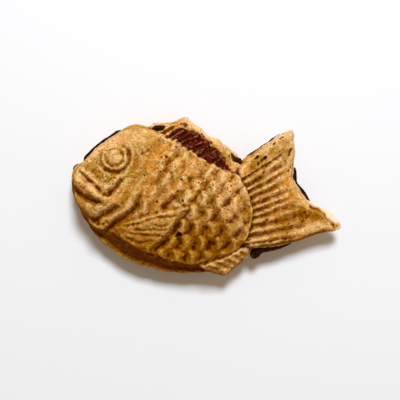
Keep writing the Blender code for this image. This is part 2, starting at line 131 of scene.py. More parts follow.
BELLY_FIN = (
    (100.5, 131), (101, 134), (106, 136.2), (109.5, 137.2), (112.5, 138.2), (115, 136.3),
    (118.5, 133.5), (122, 130.5), (125, 126.5), (125, 122.8), (121, 122.5), (112, 126.5))

# Where the filling shows
VALLEY = (
    (83, 68.2), (87, 64.4), (90, 63.2), (93, 63.8), (98, 65.8), (101.8, 68.4), (105.2, 71.6),
    (108.6, 74.2), (111.6, 78), (114.2, 82), (117.6, 86), (117, 88.6), (110, 88), (103, 85),
    (96, 79.6), (89.6, 75.4), (85, 71.8))
VALLEY_OPEN = (
    (82.8, 68.9), (87.6, 64.6), (90.1, 64), (92.6, 64.7), (98, 66.7), (101.5, 69.3), (104.5, 72.3),
    (108, 74.9), (110.9, 78.6), (112.9, 81.4), (114.6, 83.8), (117.6, 86.8), (114.7, 86.2),
    (110.8, 84.7), (106.9, 82.8), (104.4, 82), (102, 80.6), (100.2, 79.4), (98.9, 78.2),
    (97, 76.8), (94.2, 75.5), (91.8, 73.9), (89.6, 72.4), (87.4, 70.9))
FIN_GAP = (
    (75, 64.6), (76.5, 62.9), (79.5, 62.2), (82.6, 62.9), (81.6, 64.9), (79, 65.8), (76, 65.6))
FIN_TIP = (
    (115.2, 75.9), (116.3, 76.7), (117.2, 78.2), (119, 78.5), (120.7, 79.2), (121.1, 80.4),
    (120.4, 82.2), (118.5, 81.4), (116.8, 80.8), (115.7, 78.6))
FOREHEAD_LEAK = (
    (41.7, 79.2), (43, 76.9), (45.1, 74.8), (47.6, 72.5), (50.6, 70.1), (53.6, 68.1), (56.2, 66.4),
    (59.6, 64.7), (63, 66), (60, 72), (50, 79), (44, 84))
SNOUT_LEAK = ((36.6, 85.4), (37, 83.4), (39.4, 81.9), (43, 83), (44, 88), (39, 89))
TAIL_EDGE_LEAK = (
    (123, 78.4), (130.8, 73), (137.8, 68.1), (141.5, 67.2), (141, 70), (137, 74), (126, 82))
TAIL_END_LEAK = (
    (147, 83.5), (148.5, 87.5), (149, 91.2), (151.8, 95), (153.8, 98.6), (155.4, 101.8),
    (152, 102.5), (146, 96), (143, 88))
ROOT_LEAK = (
    (124, 122), (125, 127.6), (126.8, 129.3), (129.4, 128.1), (131.4, 126), (136, 125.2),
    (140.5, 123.8), (145.5, 121.4), (144, 118), (128, 117))
SEAM_LEAKS = (FOREHEAD_LEAK, SNOUT_LEAK, TAIL_EDGE_LEAK, TAIL_END_LEAK, ROOT_LEAK)

# Face relief: paths, and in the lists of marks each path's width and height
UPPER_LIP = ((39, 83), (45, 87.6), (49.5, 91.6), (53, 93.4), (57, 91.6), (61.5, 88))
MOUTH_LINE = ((38.6, 84.6), (42.5, 88), (46.5, 91.8), (50, 95.2))
MOUTH_CORNER = ((48.4, 94), (50.8, 96.6), (53.2, 97.3), (55.4, 96))
MOUTH_END = ((54, 97), (57.2, 94.4), (60, 92), (62, 89.8))
LOWER_LIP = ((35.8, 87.2), (39.6, 90.6), (44, 94), (48.5, 97.2), (51.5, 98.6))
LOWER_LIP_GROOVE = ((35.5, 92.6), (39.6, 96.2), (43.6, 98.9), (47.2, 100.7), (51.2, 100.4))
CHIN = ((42, 103), (48, 105.2), (52, 103.5))
CHIN_GROOVE = ((40, 105.5), (44.7, 109.2), (48.3, 109.7), (51.9, 107.3), (56, 104.9), (60.5, 101.8))
JAW_GROOVE = ((48, 111.6), (51.5, 111.8), (54.5, 110))
CHEEK = ((53.5, 110.8), (56.5, 108.8), (60, 106), (64.5, 101.5), (67.5, 96), (69, 90))
GILL_GROOVE = (
    (49.6, 119.4), (52.2, 117), (55, 113.6), (59.1, 110.2), (64.2, 106.7), (67.8, 104),
    (69.8, 100), (71.3, 95))
GILL_SHADE = ((51, 118), (54, 114.6), (57, 112), (61, 109), (66.8, 104.8), (69.4, 101))
EYE_SHADOW = ((51.5, 83), (53, 85.2), (55.5, 86.3), (58.5, 86.8), (62, 86), (64.8, 83.6))
FIN_ROOT = ((49.5, 119), (54.5, 117), (58.5, 114.6))
BROW_GROOVE = ((70, 77), (75.5, 74.5))
FIN_RIDGE = ((67, 110.8), (71.5, 109.6), (77, 107.6), (83.5, 105.8), (92, 104.2))
SIDE_FIN_SHADE = ((90.6, 110.4), (88.2, 114), (85, 118.2), (80.6, 122.6), (75.5, 126.6))
LONG_PITS = (                  # deeper grooves between some of the scales
    (((80.5, 104), (84, 101.5), (88, 97.5)), 1.6, -1.0),
    (((94, 102), (97.5, 98.8), (101, 95)), 1.3, -0.9),
    (((94, 91.5), (96.5, 87), (98.5, 83.5)), 1.4, -0.7),
    (((101.5, 94), (104.5, 89), (106.5, 85.5)), 1.4, -0.7),
    (((113, 102.5), (116, 98), (119, 94.5)), 1.2, -0.9))
FACE_MARKS = (
    (UPPER_LIP, 1.6, 1.2),
    (LOWER_LIP, 2.5, 2.0),
    (CHIN, 3.4, 1.3),
    (CHEEK, 2.2, 0.6),
    (MOUTH_LINE, 0.7, -1.8),
    (MOUTH_CORNER, 1.15, -1.8),
    (MOUTH_END, 1.1, -1.5),
    (LOWER_LIP_GROOVE, 1.35, -2.4),
    (CHIN_GROOVE, 1.6, -2.5),
    (JAW_GROOVE, 1.0, -1.3),
    (EYE_SHADOW, 1.1, -1.0),
    (BROW_GROOVE, 0.9, -0.6),
    (GILL_GROOVE, 1.4, -1.3),
    (GILL_SHADE, 1.5, -1.6),
    (FIN_ROOT, 3.2, -1.4),
    (SIDE_FIN_SHADE, 1.2, -1.5),
    (FIN_RIDGE, 1.4, 0.6),
    *LONG_PITS)
SIDE_FIN = (
    (55, 116), (61, 111), (67, 109.6), (72.5, 108.5), (78.5, 106.8), (85, 105), (93.5, 104),
    (91, 107), (88.5, 110.5), (86, 114), (82.5, 118), (79, 121.5), (75, 125), (72.5, 126.3),
    (67, 125), (62.5, 122.5), (57.5, 119))
SIDE_FIN_HEIGHT = 1.6
SIDE_FIN_LINES = (
    ((60.1, 112.6), (68.3, 112), (74.4, 109.9), (82.1, 108.4), (88.7, 108)),
    ((77, 112.2), (80, 113.2), (83.6, 112.2)),
    ((66, 114.4), (71.9, 114.8), (78.5, 115), (85, 114)),
    ((64.2, 116.4), (69.3, 116.9), (75.4, 117.9), (81, 118)),
    ((63.2, 118.4), (69.3, 121), (77, 120.7)),
    ((63.2, 122), (69.3, 124.1), (72.9, 125)))
SIDE_FIN_LINE = (0.6, 0.75)    # width and depth
HEAD_RISE = 0.9
HEAD_SLANT = 0.45
REAR_MARGIN = 1.6              # how much nearer to the edge the scales run at the rear
EYE = (57.6, 78.6)
EYEBALL = (4.3, 2.2)           # radius and height
EYEBALL_ROUNDNESS = 0.75
# Radius, width and height
EYE_RINGS = ((4.4, 0.6, -0.3), (5.7, 0.8, 0.75), (7.4, 0.85, -1.25), (9.4, 1.3, 0.4))
RING_SHARES = (0.6, 0.5)       # of a ring's height: all round it, and more where it is deepest
EYE_SHADE = 60.0               # the way the rings are deepest, in degrees down from the right

# Rays of the tail: the grooves' angles, and the angle and reach of the rays' ends
RAY_CENTRE = (49.5, 134.0)
RAY_GROOVES = (8.9, 12.0, 14.9, 17.8, 20.1, 22.4, 24.8, 27.2, 29.2, 32.1)
RAY_ENDS = (
    (9.0, 106.0), (12.8, 107.0), (16.0, 106.5), (18.3, 103.0), (25.0, 103.5), (29.0, 106.0),
    (33.0, 111.0))
RAY_FADE = (6, 1)              # before and after a ray's end
RAY_HEIGHT = 1.2
TAIL_ROOT = 7.5                # how far from the body the rays rise to meet it
ROOT_RISE = 3.0
ROOT_RAY = 1.2
TRAILING_SLANT = 0.78
REAR_TIP_FLAP = 1.5            # how much wider the lip is there
OUTER_FLAP = 1.2

# Scales: each has a low dome, a raised rim and a pit behind it
SCALE_ROWS = range(-6, 7)
SCALE_PLACES = range(-8, 7)
SCALE_START = (97.5, 99.4)
SCALE_PITCH = (8.15, 7.8)
SCALE_LEAN = 2.7
ROW_SLOPE = 0.16
ROW_FAN = 0.03                 # how much less each row slopes than the row over it
ROW_CROWDING = 0.06
SCALE_TILT = 20.0
SCALE_SIZE = (4.7, 5.5)
SCALE_MIDDLE = (-4.6, -0.8)
SCALE_HEIGHT = 0.7
SCALE_REACH = 1.5              # pitches
SCALE_STRAY = (-0.4, 0.4)
SCALE_SIZES = (0.88, 1.12)
SCALE_HEIGHTS = (0.7, 1.25)
DOME_LOW = 0.25                # the share of its height that a scale has at its hidden end
RIDGE_PLACE = (-4.1, -1.0)     # from the pit to its scale's raised rim
RIDGE_TILT = 12.0
RIDGE_SIZE = (1.8, 3.6)
RIDGE_BEND = 0.06
RIDGE_HEIGHT = 1.45
PIT_SIZE = (1.9, 3.0)
PIT_TILT = 50.0
PIT_DEPTH = 1.2
FLANK_SLANT = 0.8
WORN = (176, 198)              # down the flank, the range over which worn scales turn crisp
WORN_PIT_TURN = 16.0
WORN_PIT_STRETCH = 0.9
WORN_RIDGE_TURN = 28.0
CRISP_SHARES = (0.56, 0.44)    # the height of soft scales, and what crisp ones add
LOOSENESS = (0.8, 0.4)         # how far soft scales stray, and what crisp ones take off that
REAR_WEAR = 0.15

# Parallel rays: degrees above the sheet's x axis, pitch and height
BACK_FIN_RAYS = (35.0, 3.4, 0.7)
BELLY_FIN_RAYS = (-27.0, 3.3, 1.1)

# The front of the back fin: a slope of crust with rays, a gap before it, and rays in the filling
FRONT_SLOPE = (
    (79.5, 66.5), (82.5, 62.8), (87, 61.6), (92, 61.6), (94, 63.2), (90.5, 66.5), (87, 69.6),
    (82, 69.5))
FRONT_SLOPE_DEPTH = 1.3
FRONT_RAYS = (
    ((78.5, 67), (81.5, 65), (85, 62.9), (88.5, 61.6)),
    ((81.8, 68.4), (85, 66.1), (88, 64.2), (90, 63)))
FRONT_RAY = (0.9, 1.9)         # width and height
TOP_CREASE = ((59, 66), (66.5, 63.8), (73.5, 64.4), (79, 65.6))
TOP_CREASE_WIDTH = 0.5
TOP_CREASE_DEPTH = 1.8
FIN_GAP_DEPTH = 3.2
PASTE_RAYS = (
    (((85.2, 69.6), (88.6, 67.2), (92.4, 65)), 0.9, 1.4),
    (((88, 71), (91.5, 68.8), (95.4, 66.4)), 0.5, 0.8),
    (((89.6, 72.4), (94.4, 69.9), (99.4, 68.2)), 0.7, 1.5),
    (((94.5, 75.2), (97.5, 72.8), (101.5, 71)), 0.6, 1.0),
    (((98, 77.4), (101, 75.4), (104, 73.6)), 0.5, 0.8),
    (((101, 79.4), (104.4, 77), (107, 75.6)), 0.6, 0.9))

# Crushed beans in the filling beside the back fin
LUMPS = 110
LUMPS_ALONG = (88, 122)
LUMPS_ACROSS = (62, 90)
LUMP_RADIUS = (1.0, 3.4)
LUMP_STRETCH = (0.22, 0.5)
LUMP_TURN = (-0.8, -0.3)
LUMP_HEIGHT = 0.75

# Pores and the seam's line
SMALL_PORES = 2600
SMALL_PORE_RADIUS = 0.2
SMALL_PORE_GROWTH = 0.32       # the largest are that much wider
SMALL_PORE_RARITY = 5
SMALL_PORE_RIM = 0.03
FEW_PORES = (0.15, 0.25)       # the shares that are left outside the clusters, and on the back
CHEEK_PORES = ((55, 87), (10, 5))  # their place and their reach
CHEEK_SHARE = 2
PORES_DRAWN_OUT = (19.0, 42.0)  # past this x in the model, along this angle
DRAWN_OUT_STRETCH = 0.6
PORE_VARIETY = 0.35
PORE_DEPTH = 1.1
PORE_RIM_PLACE = 1.35          # radii
PORE_RIM_WIDTH = 0.35
PORE_REACH = 2.4
SEAM_LINE_WIDTH = 0.42
SEAM_LINE_DEPTH = 0.5
SIDE_SHARPNESS = 1.6           # how steep a place has to be to count as the side

# Pores that are wide enough to see one by one: place on the sheet, radius, height of the rim
PORES = (
    (89.6, 117, 1.5, 0.12), (91.6, 100.6, 0.9, 0.3), (83.8, 79, 0.6, 0.1), (88.5, 74.3, 0.45, 0.1),
    (91.2, 90, 0.7, 0.15), (83.8, 83, 0.45, 0.1), (82, 87.3, 0.5, 0.1), (88, 84, 0.45, 0.1),
    (76.7, 92.2, 0.55, 0.1), (78.9, 100.7, 0.65, 0.15), (89.4, 96, 0.5, 0.1),
    (99.3, 91.4, 0.5, 0.1), (115, 96, 0.45, 0), (116.4, 88.3, 0.45, 0), (50.1, 88.6, 0.5, 0),
    (47.6, 86.2, 0.4, 0), (54.4, 88, 0.45, 0), (53, 112, 0.5, 0), (113.3, 110, 0.6, 0),
    (128.2, 78.6, 0.75, 0), (132.3, 79.3, 0.75, 0), (130.7, 80.3, 0.6, 0), (128.7, 82.3, 0.6, 0),
    (127.2, 79.4, 0.5, 0), (140.7, 69, 0.6, 0), (139.8, 69.4, 0.5, 0), (136.7, 72.1, 0.6, 0),
    (144.9, 75.2, 0.7, 0), (144.5, 76.4, 0.55, 0), (144.1, 77.6, 0.5, 0), (132.6, 83.4, 0.5, 0),
    (134.2, 82, 0.45, 0), (131.4, 86.2, 0.5, 0), (136.6, 84, 0.45, 0), (133.2, 110, 0.55, 0),
    (165.2, 112.3, 0.55, 0), (112.2, 137, 0.5, 0), (108.2, 134, 0.5, 0), (115.7, 133.5, 0.45, 0),
    (101.2, 67.2, 0.6, 0), (102, 68.6, 0.6, 0), (105.6, 71.6, 0.6, 0), (114.6, 78.4, 0.5, 0))

# Where the crust is darker and where it is lighter: path, width and share. The darker places are browning
# and painted shade, the lighter places paler crust and a painted highlight on the eye's dome
BROWNED_AND_SHADED_PLACES = (
    (((136, 110), (142, 109.5), (148, 109)), 4.6, 0.4),
    (((148, 107.5), (154, 107), (160, 109)), 3.6, 0.85),
    # painted shade, with browning, along the tail's lower edge
    (((138, 121.6), (147, 119.8), (156, 117.2), (164, 115)), 1.5, 1.0),
    (((127, 122.5), (134, 122.4), (141, 121.4)), 1.4, 0.6),
    (((145.5, 87), (148.6, 94), (152.6, 99.6)), 1.8, 0.55),
    (((155.5, 103), (159.5, 106), (163, 110)), 1.9, 0.55),
    (((86, 71), (93, 76), (99, 80), (106, 84), (114, 87)), 0.9, 0.5),
    (((91, 63.6), (98.5, 66.6), (105, 71.8), (111, 78), (115.5, 84)), 0.9, 0.7),
    # painted shade, with some browning, in the chin, lip and mouth grooves, under the eye, below the
    # gills and in a long pit
    (((44, 109), (50, 110), (56, 105.5)), 1.6, 0.5),
    (((38, 94.5), (43.6, 98.9), (51.5, 100.8)), 1.5, 0.8),
    (((53, 84.5), (58.5, 86.5), (64, 85)), 2.4, 0.6),
    (((54, 96.5), (58, 93.5), (61.5, 90)), 1.2, 0.5),
    (((37, 92), (41, 96), (46, 99)), 1.6, 0.5),
    (((54, 114), (59, 112), (65, 110)), 2.2, 0.6),
    (((55, 118), (60, 120.5)), 2.0, 0.5),
    (((80, 104.5), (84, 101.5), (88, 97.5)), 1.8, 0.5),
    (((120.5, 88), (122.5, 96), (123.5, 104)), 1.8, 0.15),
    (((125, 83), (130, 87), (134, 92)), 5.5, 0.35),
    (((128, 98), (134, 99), (138, 101)), 4.0, 0.25),
    (((131, 109), (137, 111), (145, 119)), 4.0, 0.25),
    (((125, 84), (127, 94), (128, 104), (127, 114)), 3.2, 0.3),
    (((71, 77), (75, 88), (78, 103)), 8.0, 0.16),
    (((65, 75), (67, 79), (66.5, 83)), 3.5, 0.3),
    (((46, 86), (53, 88)), 3.5, 0.2),
    # painted shade along the head's lower edge, beside the gill groove and on the lower side of the eye's
    # dome
    (((38, 92), (39, 98), (42, 105), (47, 113)), 2.0, 0.6),
    (((70, 96), (69.5, 101), (67, 106)), 2.4, 0.35),
    (((54.5, 81.6), (57, 82.3), (60, 82)), 1.0, 0.4),
    (((64, 113.5), (72, 116), (81, 115)), 5.5, -0.25))
PALE_AND_HIGHLIT_PLACES = (
    # painted highlight on the eye's dome
    (((56.6, 76.6), (58.6, 76.8)), 2.0, 0.7),
    (((46, 79), (50, 73), (56, 70), (62, 70)), 4.6, 0.85),
    (((66, 69), (74, 70)), 4.0, 0.6),
    (((38, 87.5), (44, 91)), 2.0, 0.4),
    (((87, 73.5), (92, 76.5)), 1.8, 0.45),
    (((130, 74), (137, 70), (143.5, 67)), 3.0, 0.9),
    (((140.5, 76), (141, 86)), 3.0, 0.3),
    (((146, 116.5), (154, 113.6), (162, 112.4)), 1.8, 0.8),
    (((92, 61), (96, 63), (101, 67), (108, 71.5)), 2.0, 0.5))
LEDGE_STREAKS = (
    (((51.5, 121.8), (56, 125.2), (60.5, 128), (65, 129.8)), 0.7, 1.0),
    (((50, 117.5), (54, 121.5), (58.5, 124.2)), 0.6, 0.7),
    (((68, 130), (75, 131.4), (82, 132.2)), 0.6, 0.7))
REAR_PLACES = (
    (((109, 86), (111.5, 95), (115, 103), (115.5, 111)), 2.6, 0.45),
    (((99, 83), (101.5, 87)), 2.4, 0.4),
    (((118, 91), (119.6, 97)), 2.0, 0.4),
    (((119.4, 111), (119, 117)), 2.0, 0.4))

# Shares of browning, paleness and painted shade
BELLY_FIN_PALENESS = 0.7
BREAST_PALENESS = 0.2
BREAST_LEDGE = 1.2
LEDGE_SHARE = 0.6
LEDGE_SHARE_REAR = 0.14
STREAK_PALENESS = 0.55
WALL_SHADE_SHARE = 0.4
TAIL_BROWN = 0.17
TAIL_EDGE_PALENESS = 0.35
RIM_LIGHT = (0.5, 3.4)           # share and width
RIM_PALE = (0.35, 1.8)
TAIL_PALE = (0.38, 1.8)
FLAP_LINE = 1.2


def smooth_path(points, closed, steps=5):
    """A Catmull-Rom curve through the points."""
    points = np.array(points, float)
    if closed:
        padded = np.vstack((points[-1], points, points[0], points[1]))
    else:
        padded = np.vstack((points[0], points, points[-1]))
    curve = []
    for before, start, end, after in zip(padded, padded[1:], padded[2:], padded[3:]):
        for share in np.arange(steps) / steps:
            bend = (2 * before - 5 * start + 4 * end - after) * share ** 2
            twist = (3 * start - before - 3 * end + after) * share ** 3
            curve.append(0.5 * (2 * start + (end - before) * share + bend + twist))
    if not closed:
        curve.append(points[-1])
    return np.array(curve)


def inset(curve, distance):
    """The closed curve moved inwards."""
    along = np.roll(curve, -1, axis=0) - np.roll(curve, 1, axis=0)
    outwards = np.column_stack((along[:, 1], -along[:, 0]))
    outwards /= np.linalg.norm(outwards, axis=1)[:, None]
    ahead = np.roll(curve, -1, axis=0)
    turning = np.sum(curve[:, 0] * ahead[:, 1] - ahead[:, 0] * curve[:, 1])
    return curve - outwards * distance * math.copysign(1, turning)


def segment_distance(start, end, x, y):
    edge = end - start
    along = ((x - start[0]) * edge[0] + (y - start[1]) * edge[1]) / max(edge @ edge, 1e-9)
    along = np.clip(along, 0, 1)
    return np.hypot(x - start[0] - along * edge[0], y - start[1] - along * edge[1]), along


def depth_inside(outline, x, y):
    """Distance to a smooth closed outline, positive inside it."""
    curve = smooth_path(outline, closed=True)
    return depth_in_curve(curve, x, y)


def depth_in_curve(curve, x, y):
    nearest = np.full(x.shape, np.inf)
    inside = np.zeros(x.shape, bool)
    for start, end in zip(curve, np.roll(curve, -1, axis=0)):
        nearest = np.minimum(nearest, segment_distance(start, end, x, y)[0])
        rise = end[1] - start[1]
        if rise:
            crossed = (start[1] > y) != (end[1] > y)
            inside ^= crossed & (x < start[0] + (end[0] - start[0]) * (y - start[1]) / rise)
    return np.where(inside, nearest, -nearest)


STROKE_TAPER = 0.12      # the share of a stroke's length over which it fades at each end
STROKE_END = 0.35


def stroke(path, width, x, y):
    """A soft mark along a path: 1 on it, fading to 0 over the width, tapered at both ends."""
    curve = smooth_path(path, closed=False, steps=4)
    last = len(curve) - 1
    nearest = np.full(x.shape, np.inf)
    place = np.zeros(x.shape)
    for index, (start, end) in enumerate(zip(curve, curve[1:])):
        distance, along = segment_distance(start, end, x, y)
        closer = distance < nearest
        nearest = np.where(closer, distance, nearest)
        place = np.where(closer, (index + along) / last, place)
    taper = np.clip(np.minimum(place, 1 - place) / STROKE_TAPER, STROKE_END, 1)
    return np.exp(-(nearest / width) ** 2) * taper


def strongest_mark(paths, width, x, y):
    return np.maximum.reduce([stroke(path, width, x, y) for path in paths])


def soft_marks(places, x, y):
    """The marks of several paths together."""
    return sum(share * stroke(path, width, x, y) for path, width, share in places)


def ease(value, low, high):
    """0 below low, 1 above high and a smooth step between."""
    share = np.clip((value - low) / (high - low), 0, 1)
    return share * share * (3 - 2 * share)


NOISE_VALUES = 4096
NOISE_MIXERS = (73856093, 19349663, 83492791)


def soft_noise(size, seed, *coordinates):
    """Smooth random values from -1 to 1, which change over about that distance."""
    table = np.random.default_rng(seed).uniform(-1, 1, NOISE_VALUES)
    place = np.stack(np.broadcast_arrays(*coordinates), axis=-1) / size
    corner = np.floor(place)
    share = place - corner
    share = share * share * (3 - 2 * share)
    corner = corner.astype(np.int64)
    total = np.zeros(place.shape[:-1])
    for step in itertools.product((0, 1), repeat=place.shape[-1]):
        key = np.zeros(total.shape, np.int64)
        weight = np.ones(total.shape)
        for axis, (move, mixer) in enumerate(zip(step, NOISE_MIXERS)):
            key ^= (corner[..., axis] + move) * mixer
            weight = weight * (share[..., axis] if move else 1 - share[..., axis])
        total += weight * table[key % NOISE_VALUES]
    return total


def layered_noise(layers, *coordinates):
    """Layers of soft noise, each with its size, seed and share, added up."""
    return sum(share * soft_noise(size, seed, *coordinates) for size, seed, share in layers)


def wander(x, y):
    """The same place on a sheet that is a little uneven, as hand-poured batter is."""
    return x + layered_noise(WANDER_X, x, y), y + layered_noise(WANDER_Y, x, y)


def within(outline, low, high, x, y):
    """0 up to one depth inside the outline, 1 from another and a smooth step between."""
    return ease(depth_inside(outline, x, y), low, high)


def rounded_edge(depth, height, lip=LIP_WIDTH):
    """A plate of that height above the seam, whose edge starts at the lip."""
    inner = np.clip((depth - lip) / EDGE_WIDTH, 0, 1)
    return LIP + (height - LIP) * np.sqrt(1 - (1 - inner) ** 2)


def placed_on_face(points):
    return np.array(VIEW_AXIS) + (np.array(points) - VIEW_AXIS) * FACE_SCALE


def on_face(x, y):
    """Where a point of the face lies on the sheet's drawing of the relief."""
    return (VIEW_AXIS[0] + (x - VIEW_AXIS[0]) / FACE_SCALE,
            VIEW_AXIS[1] + (y - VIEW_AXIS[1]) / FACE_SCALE)


def body_form(x, y, underside):
    """Height of the smooth body over the seam, and the depth inside the edge of its face."""
    in_body = depth_inside(BODY, x, y)
    if underside:
        in_face = in_body - UNDERSIDE_INSET
        rise = UNDERSIDE_RISE
    else:
        crown = placed_on_face(smooth_path(CROWN, closed=True))
        in_face = depth_in_curve(crown, x, y)
        rise = CROWN_RISE
    on_belly = ease(y, 111, 119) * (1 - BELLY_NARROWING * ease(x, 90, 115))
    lip = LIP_WIDTH + (BELLY_LIP_WIDTH - LIP_WIDTH) * on_belly
    in_wall = in_body - lip
    climb = np.clip(in_wall / np.maximum(in_wall - in_face, 0.05), 0, 1)
    wall = np.sin(climb * math.pi / 2) ** WALL_ROUNDNESS
    wall = wall + (1 - (1 - climb) ** BELLY_WALL_ROUNDNESS - wall) * on_belly
    swell = 1 - (1 - np.clip(in_face / SWELL_WIDTH, 0, 1)) ** 2
    height = LIP + (CROWN_EDGE - LIP) * wall + rise * swell
    return np.where(in_body > 0, height, 0), in_face


def eye_relief(x, y):
    radius = np.hypot(x - EYE[0], y - EYE[1])
    ball, height = EYEBALL
    relief = height * np.clip(1 - (radius / ball) ** 2, 0, 1) ** EYEBALL_ROUNDNESS
    facing = np.cos(np.arctan2(y - EYE[1], x - EYE[0]) - math.radians(EYE_SHADE))
    for ring, width, height in EYE_RINGS:
        height = height * (RING_SHARES[0] + RING_SHARES[1] * facing)
        relief = relief + height * np.exp(-((radius - ring) / width) ** 2)
    return relief


def side_fin_relief(x, y):
    """The fin on the flank: a plate with fine lines between its rays."""
    plate = SIDE_FIN_HEIGHT * within(SIDE_FIN, -0.6, 1.6, x, y) * ease(x, 53, 70)
    width, deep = SIDE_FIN_LINE
    return plate - deep * strongest_mark(SIDE_FIN_LINES, width, x, y)


def turned(x, y, degrees):
    """The point's places along and across a line that leans that much to the right of upright."""
    sine, cosine = math.sin(math.radians(degrees)), math.cos(math.radians(degrees))
    return x * sine - y * cosine, x * cosine + y * sine


def down_flank(x, y):
    """How far a place is from the brow towards the belly and the tail."""
    return x + FLANK_SLANT * y


def scale_relief(x, y):
    """Overlapping scales, each rising to a raised rim with a pit behind it on its tail side."""
    chance = np.random.default_rng(11)
    domes = np.zeros(x.shape)
    ridges = np.zeros(x.shape)
    pits = np.zeros(x.shape)
    for row in SCALE_ROWS:
        for place in SCALE_PLACES:
            stray_x, stray_y = chance.uniform(*SCALE_STRAY, 2)
            size = chance.uniform(*SCALE_SIZES)
            tall, deep = chance.uniform(*SCALE_HEIGHTS, 2)
            run = place * SCALE_PITCH[0]
            pit_x = SCALE_START[0] + run + row * SCALE_LEAN + stray_x
            pit_y = (SCALE_START[1] + (ROW_SLOPE - ROW_FAN * row) * run
                     + row * SCALE_PITCH[1] - ROW_CROWDING * row ** 2 + stray_y)
            near = np.hypot(x - pit_x, y - pit_y) < SCALE_REACH * SCALE_PITCH[0]
            from_x = x[near] - pit_x
            from_y = y[near] - pit_y
            out, side = turned(from_x - SCALE_MIDDLE[0], from_y - SCALE_MIDDLE[1], 90 - SCALE_TILT)
            reach = np.hypot(out / SCALE_SIZE[0], side / SCALE_SIZE[1]) / size
            lift = DOME_LOW + (1 - DOME_LOW) * np.clip(out / (2 * SCALE_SIZE[0]) + 0.5, 0, 1)
            dome = tall * (1 - ease(reach, 0.55, 1.0)) * lift
            domes[near] = np.maximum(domes[near], dome)
            worn = 1 - ease(down_flank(pit_x, pit_y), *WORN)
            lean = WORN_RIDGE_TURN * worn - RIDGE_TILT
            along, across = turned(from_x - RIDGE_PLACE[0], from_y - RIDGE_PLACE[1], lean)
            across = across + RIDGE_BEND * (1 - worn) * along ** 2
            ridge = np.hypot(across / RIDGE_SIZE[0], (along / RIDGE_SIZE[1]) ** 2) / size
            ridges[near] = np.maximum(ridges[near], tall * np.exp(-ridge ** 2))
            along, across = turned(from_x, from_y, PIT_TILT - WORN_PIT_TURN * worn)
            length = PIT_SIZE[1] * (1 + WORN_PIT_STRETCH * worn)
            pit = np.hypot(across / PIT_SIZE[0], along / length) / size
            pits[near] = np.maximum(pits[near], deep * np.exp(-pit ** 2))
    return SCALE_HEIGHT * domes + RIDGE_HEIGHT * ridges - PIT_DEPTH * pits


def face_relief(x, y):
    x, y = on_face(x, y)
    head = 1 - ease(x + HEAD_SLANT * (y - VIEW_AXIS[1]), 70, 76)
    in_fin = within(SIDE_FIN, -1.5, 0, x, y)
    crisp = ease(down_flank(x, y), 155, 185)
    loose = LOOSENESS[0] - LOOSENESS[1] * crisp
    scales = scale_relief(x + loose * layered_noise(STRAY_X, x, y),
                          y + loose * layered_noise(STRAY_Y, x, y))
    scales = scales * (1 - head) * (1 - in_fin) * (CRISP_SHARES[0] + CRISP_SHARES[1] * crisp)
    scales = scales * (1 - REAR_WEAR * ease(x, 117, 123))
    relief = HEAD_RISE * head + scales + eye_relief(x, y) + side_fin_relief(x, y)
    for path, width, height in FACE_MARKS:
        relief = relief + height * stroke(path, width, x, y)
    return relief


def tail_relief(x, y):
    """Rays between the grooves that spread over the tail."""
    across = x - RAY_CENTRE[0]
    up = RAY_CENTRE[1] - y
    angle = np.degrees(np.arctan2(up, across))
    reach = np.hypot(across, up)
    phase = np.interp(angle, RAY_GROOVES, np.arange(len(RAY_GROOVES)), left=-0.5,
                      right=len(RAY_GROOVES) - 0.5)
    ray = 0.5 - 0.5 * np.cos(2 * math.pi * phase)
    end = np.interp(angle, *zip(*RAY_ENDS))
    strength = 1 - ease(reach, end - RAY_FADE[0], end + RAY_FADE[1])
    relief = RAY_HEIGHT * (ray * strength + 0.5 * (1 - strength))
    at_root = ease(depth_inside(BODY, x, y), -TAIL_ROOT, 0)
    return relief + at_root * (ROOT_RISE + ROOT_RAY * (ray - 0.5))


def trailing_side(x, y):
    """1 along the tail's rear edge, 0 along its lower edge."""
    return 1 - ease(y - TRAILING_SLANT * x, -17.5, -15)


def at_rear_tip(x, y):
    """1 at the tail's rear tip, where the batter ran out of the iron."""
    return ease(x + 0.5 * y, 202, 208)


def tail_lip(x, y):
    """The width of the tail's lip, which is widest at its rear tip."""
    wider = REAR_TIP_FLAP * at_rear_tip(x, y) + OUTER_FLAP * ease(x, 160, 164)
    return LIP_WIDTH + wider * trailing_side(x, y)


def tail_form(x, y):
    depth = depth_inside(TAIL, x, y)
    plate = rounded_edge(depth, TAIL_PLATE + tail_relief(x, y), tail_lip(x, y))
    return np.where(depth > 0, np.maximum(plate, LIP), 0)


def slanted_rays(x, y, rays):
    degrees, pitch, height = rays
    across = x * math.sin(math.radians(degrees)) + y * math.cos(math.radians(degrees))
    return height * (0.5 + 0.5 * np.cos(2 * math.pi * across / pitch))


def back_fin_form(x, y, underside):
    """The fin along the back: on the upper side a rim round the valley of filling."""
    depth = depth_inside(BACK_FIN, x, y)
    if underside:
        rays = slanted_rays(x, y, BACK_FIN_RAYS) * ease(depth, 2, 4)
        return np.where(depth > 0, rounded_edge(depth, FIN_PLATE) + rays, 0)
    plate = rounded_edge(depth, FIN_PLATE)
    plate = plate - FRONT_SLOPE_DEPTH * within(FRONT_SLOPE, -0.5, 1, x, y)
    plate = plate + front_rays(x, y) * ease(depth, 0.6, 2)
    for gap in (FIN_GAP, FIN_TIP):
        plate = plate - FIN_GAP_DEPTH * within(gap, -0.3, 0.4, x, y)
    return np.where(depth > 0, np.maximum(plate, LIP), 0)


def front_rays(x, y):
    """The rays of crust at the front of the back fin."""
    width, height = FRONT_RAY
    return height * strongest_mark(FRONT_RAYS, width, x, y)


def belly_fin_form(x, y):
    """The small fin under the belly, which climbs to the edge of the face."""
    depth = depth_inside(BELLY_FIN, x, y)
    plate = FIN_PLATE + BELLY_FIN_CLIMB * within(BODY, -3, 4, x, y)
    plate = plate + slanted_rays(x, y, BELLY_FIN_RAYS)
    return np.where(depth > 0, rounded_edge(depth, plate), 0)


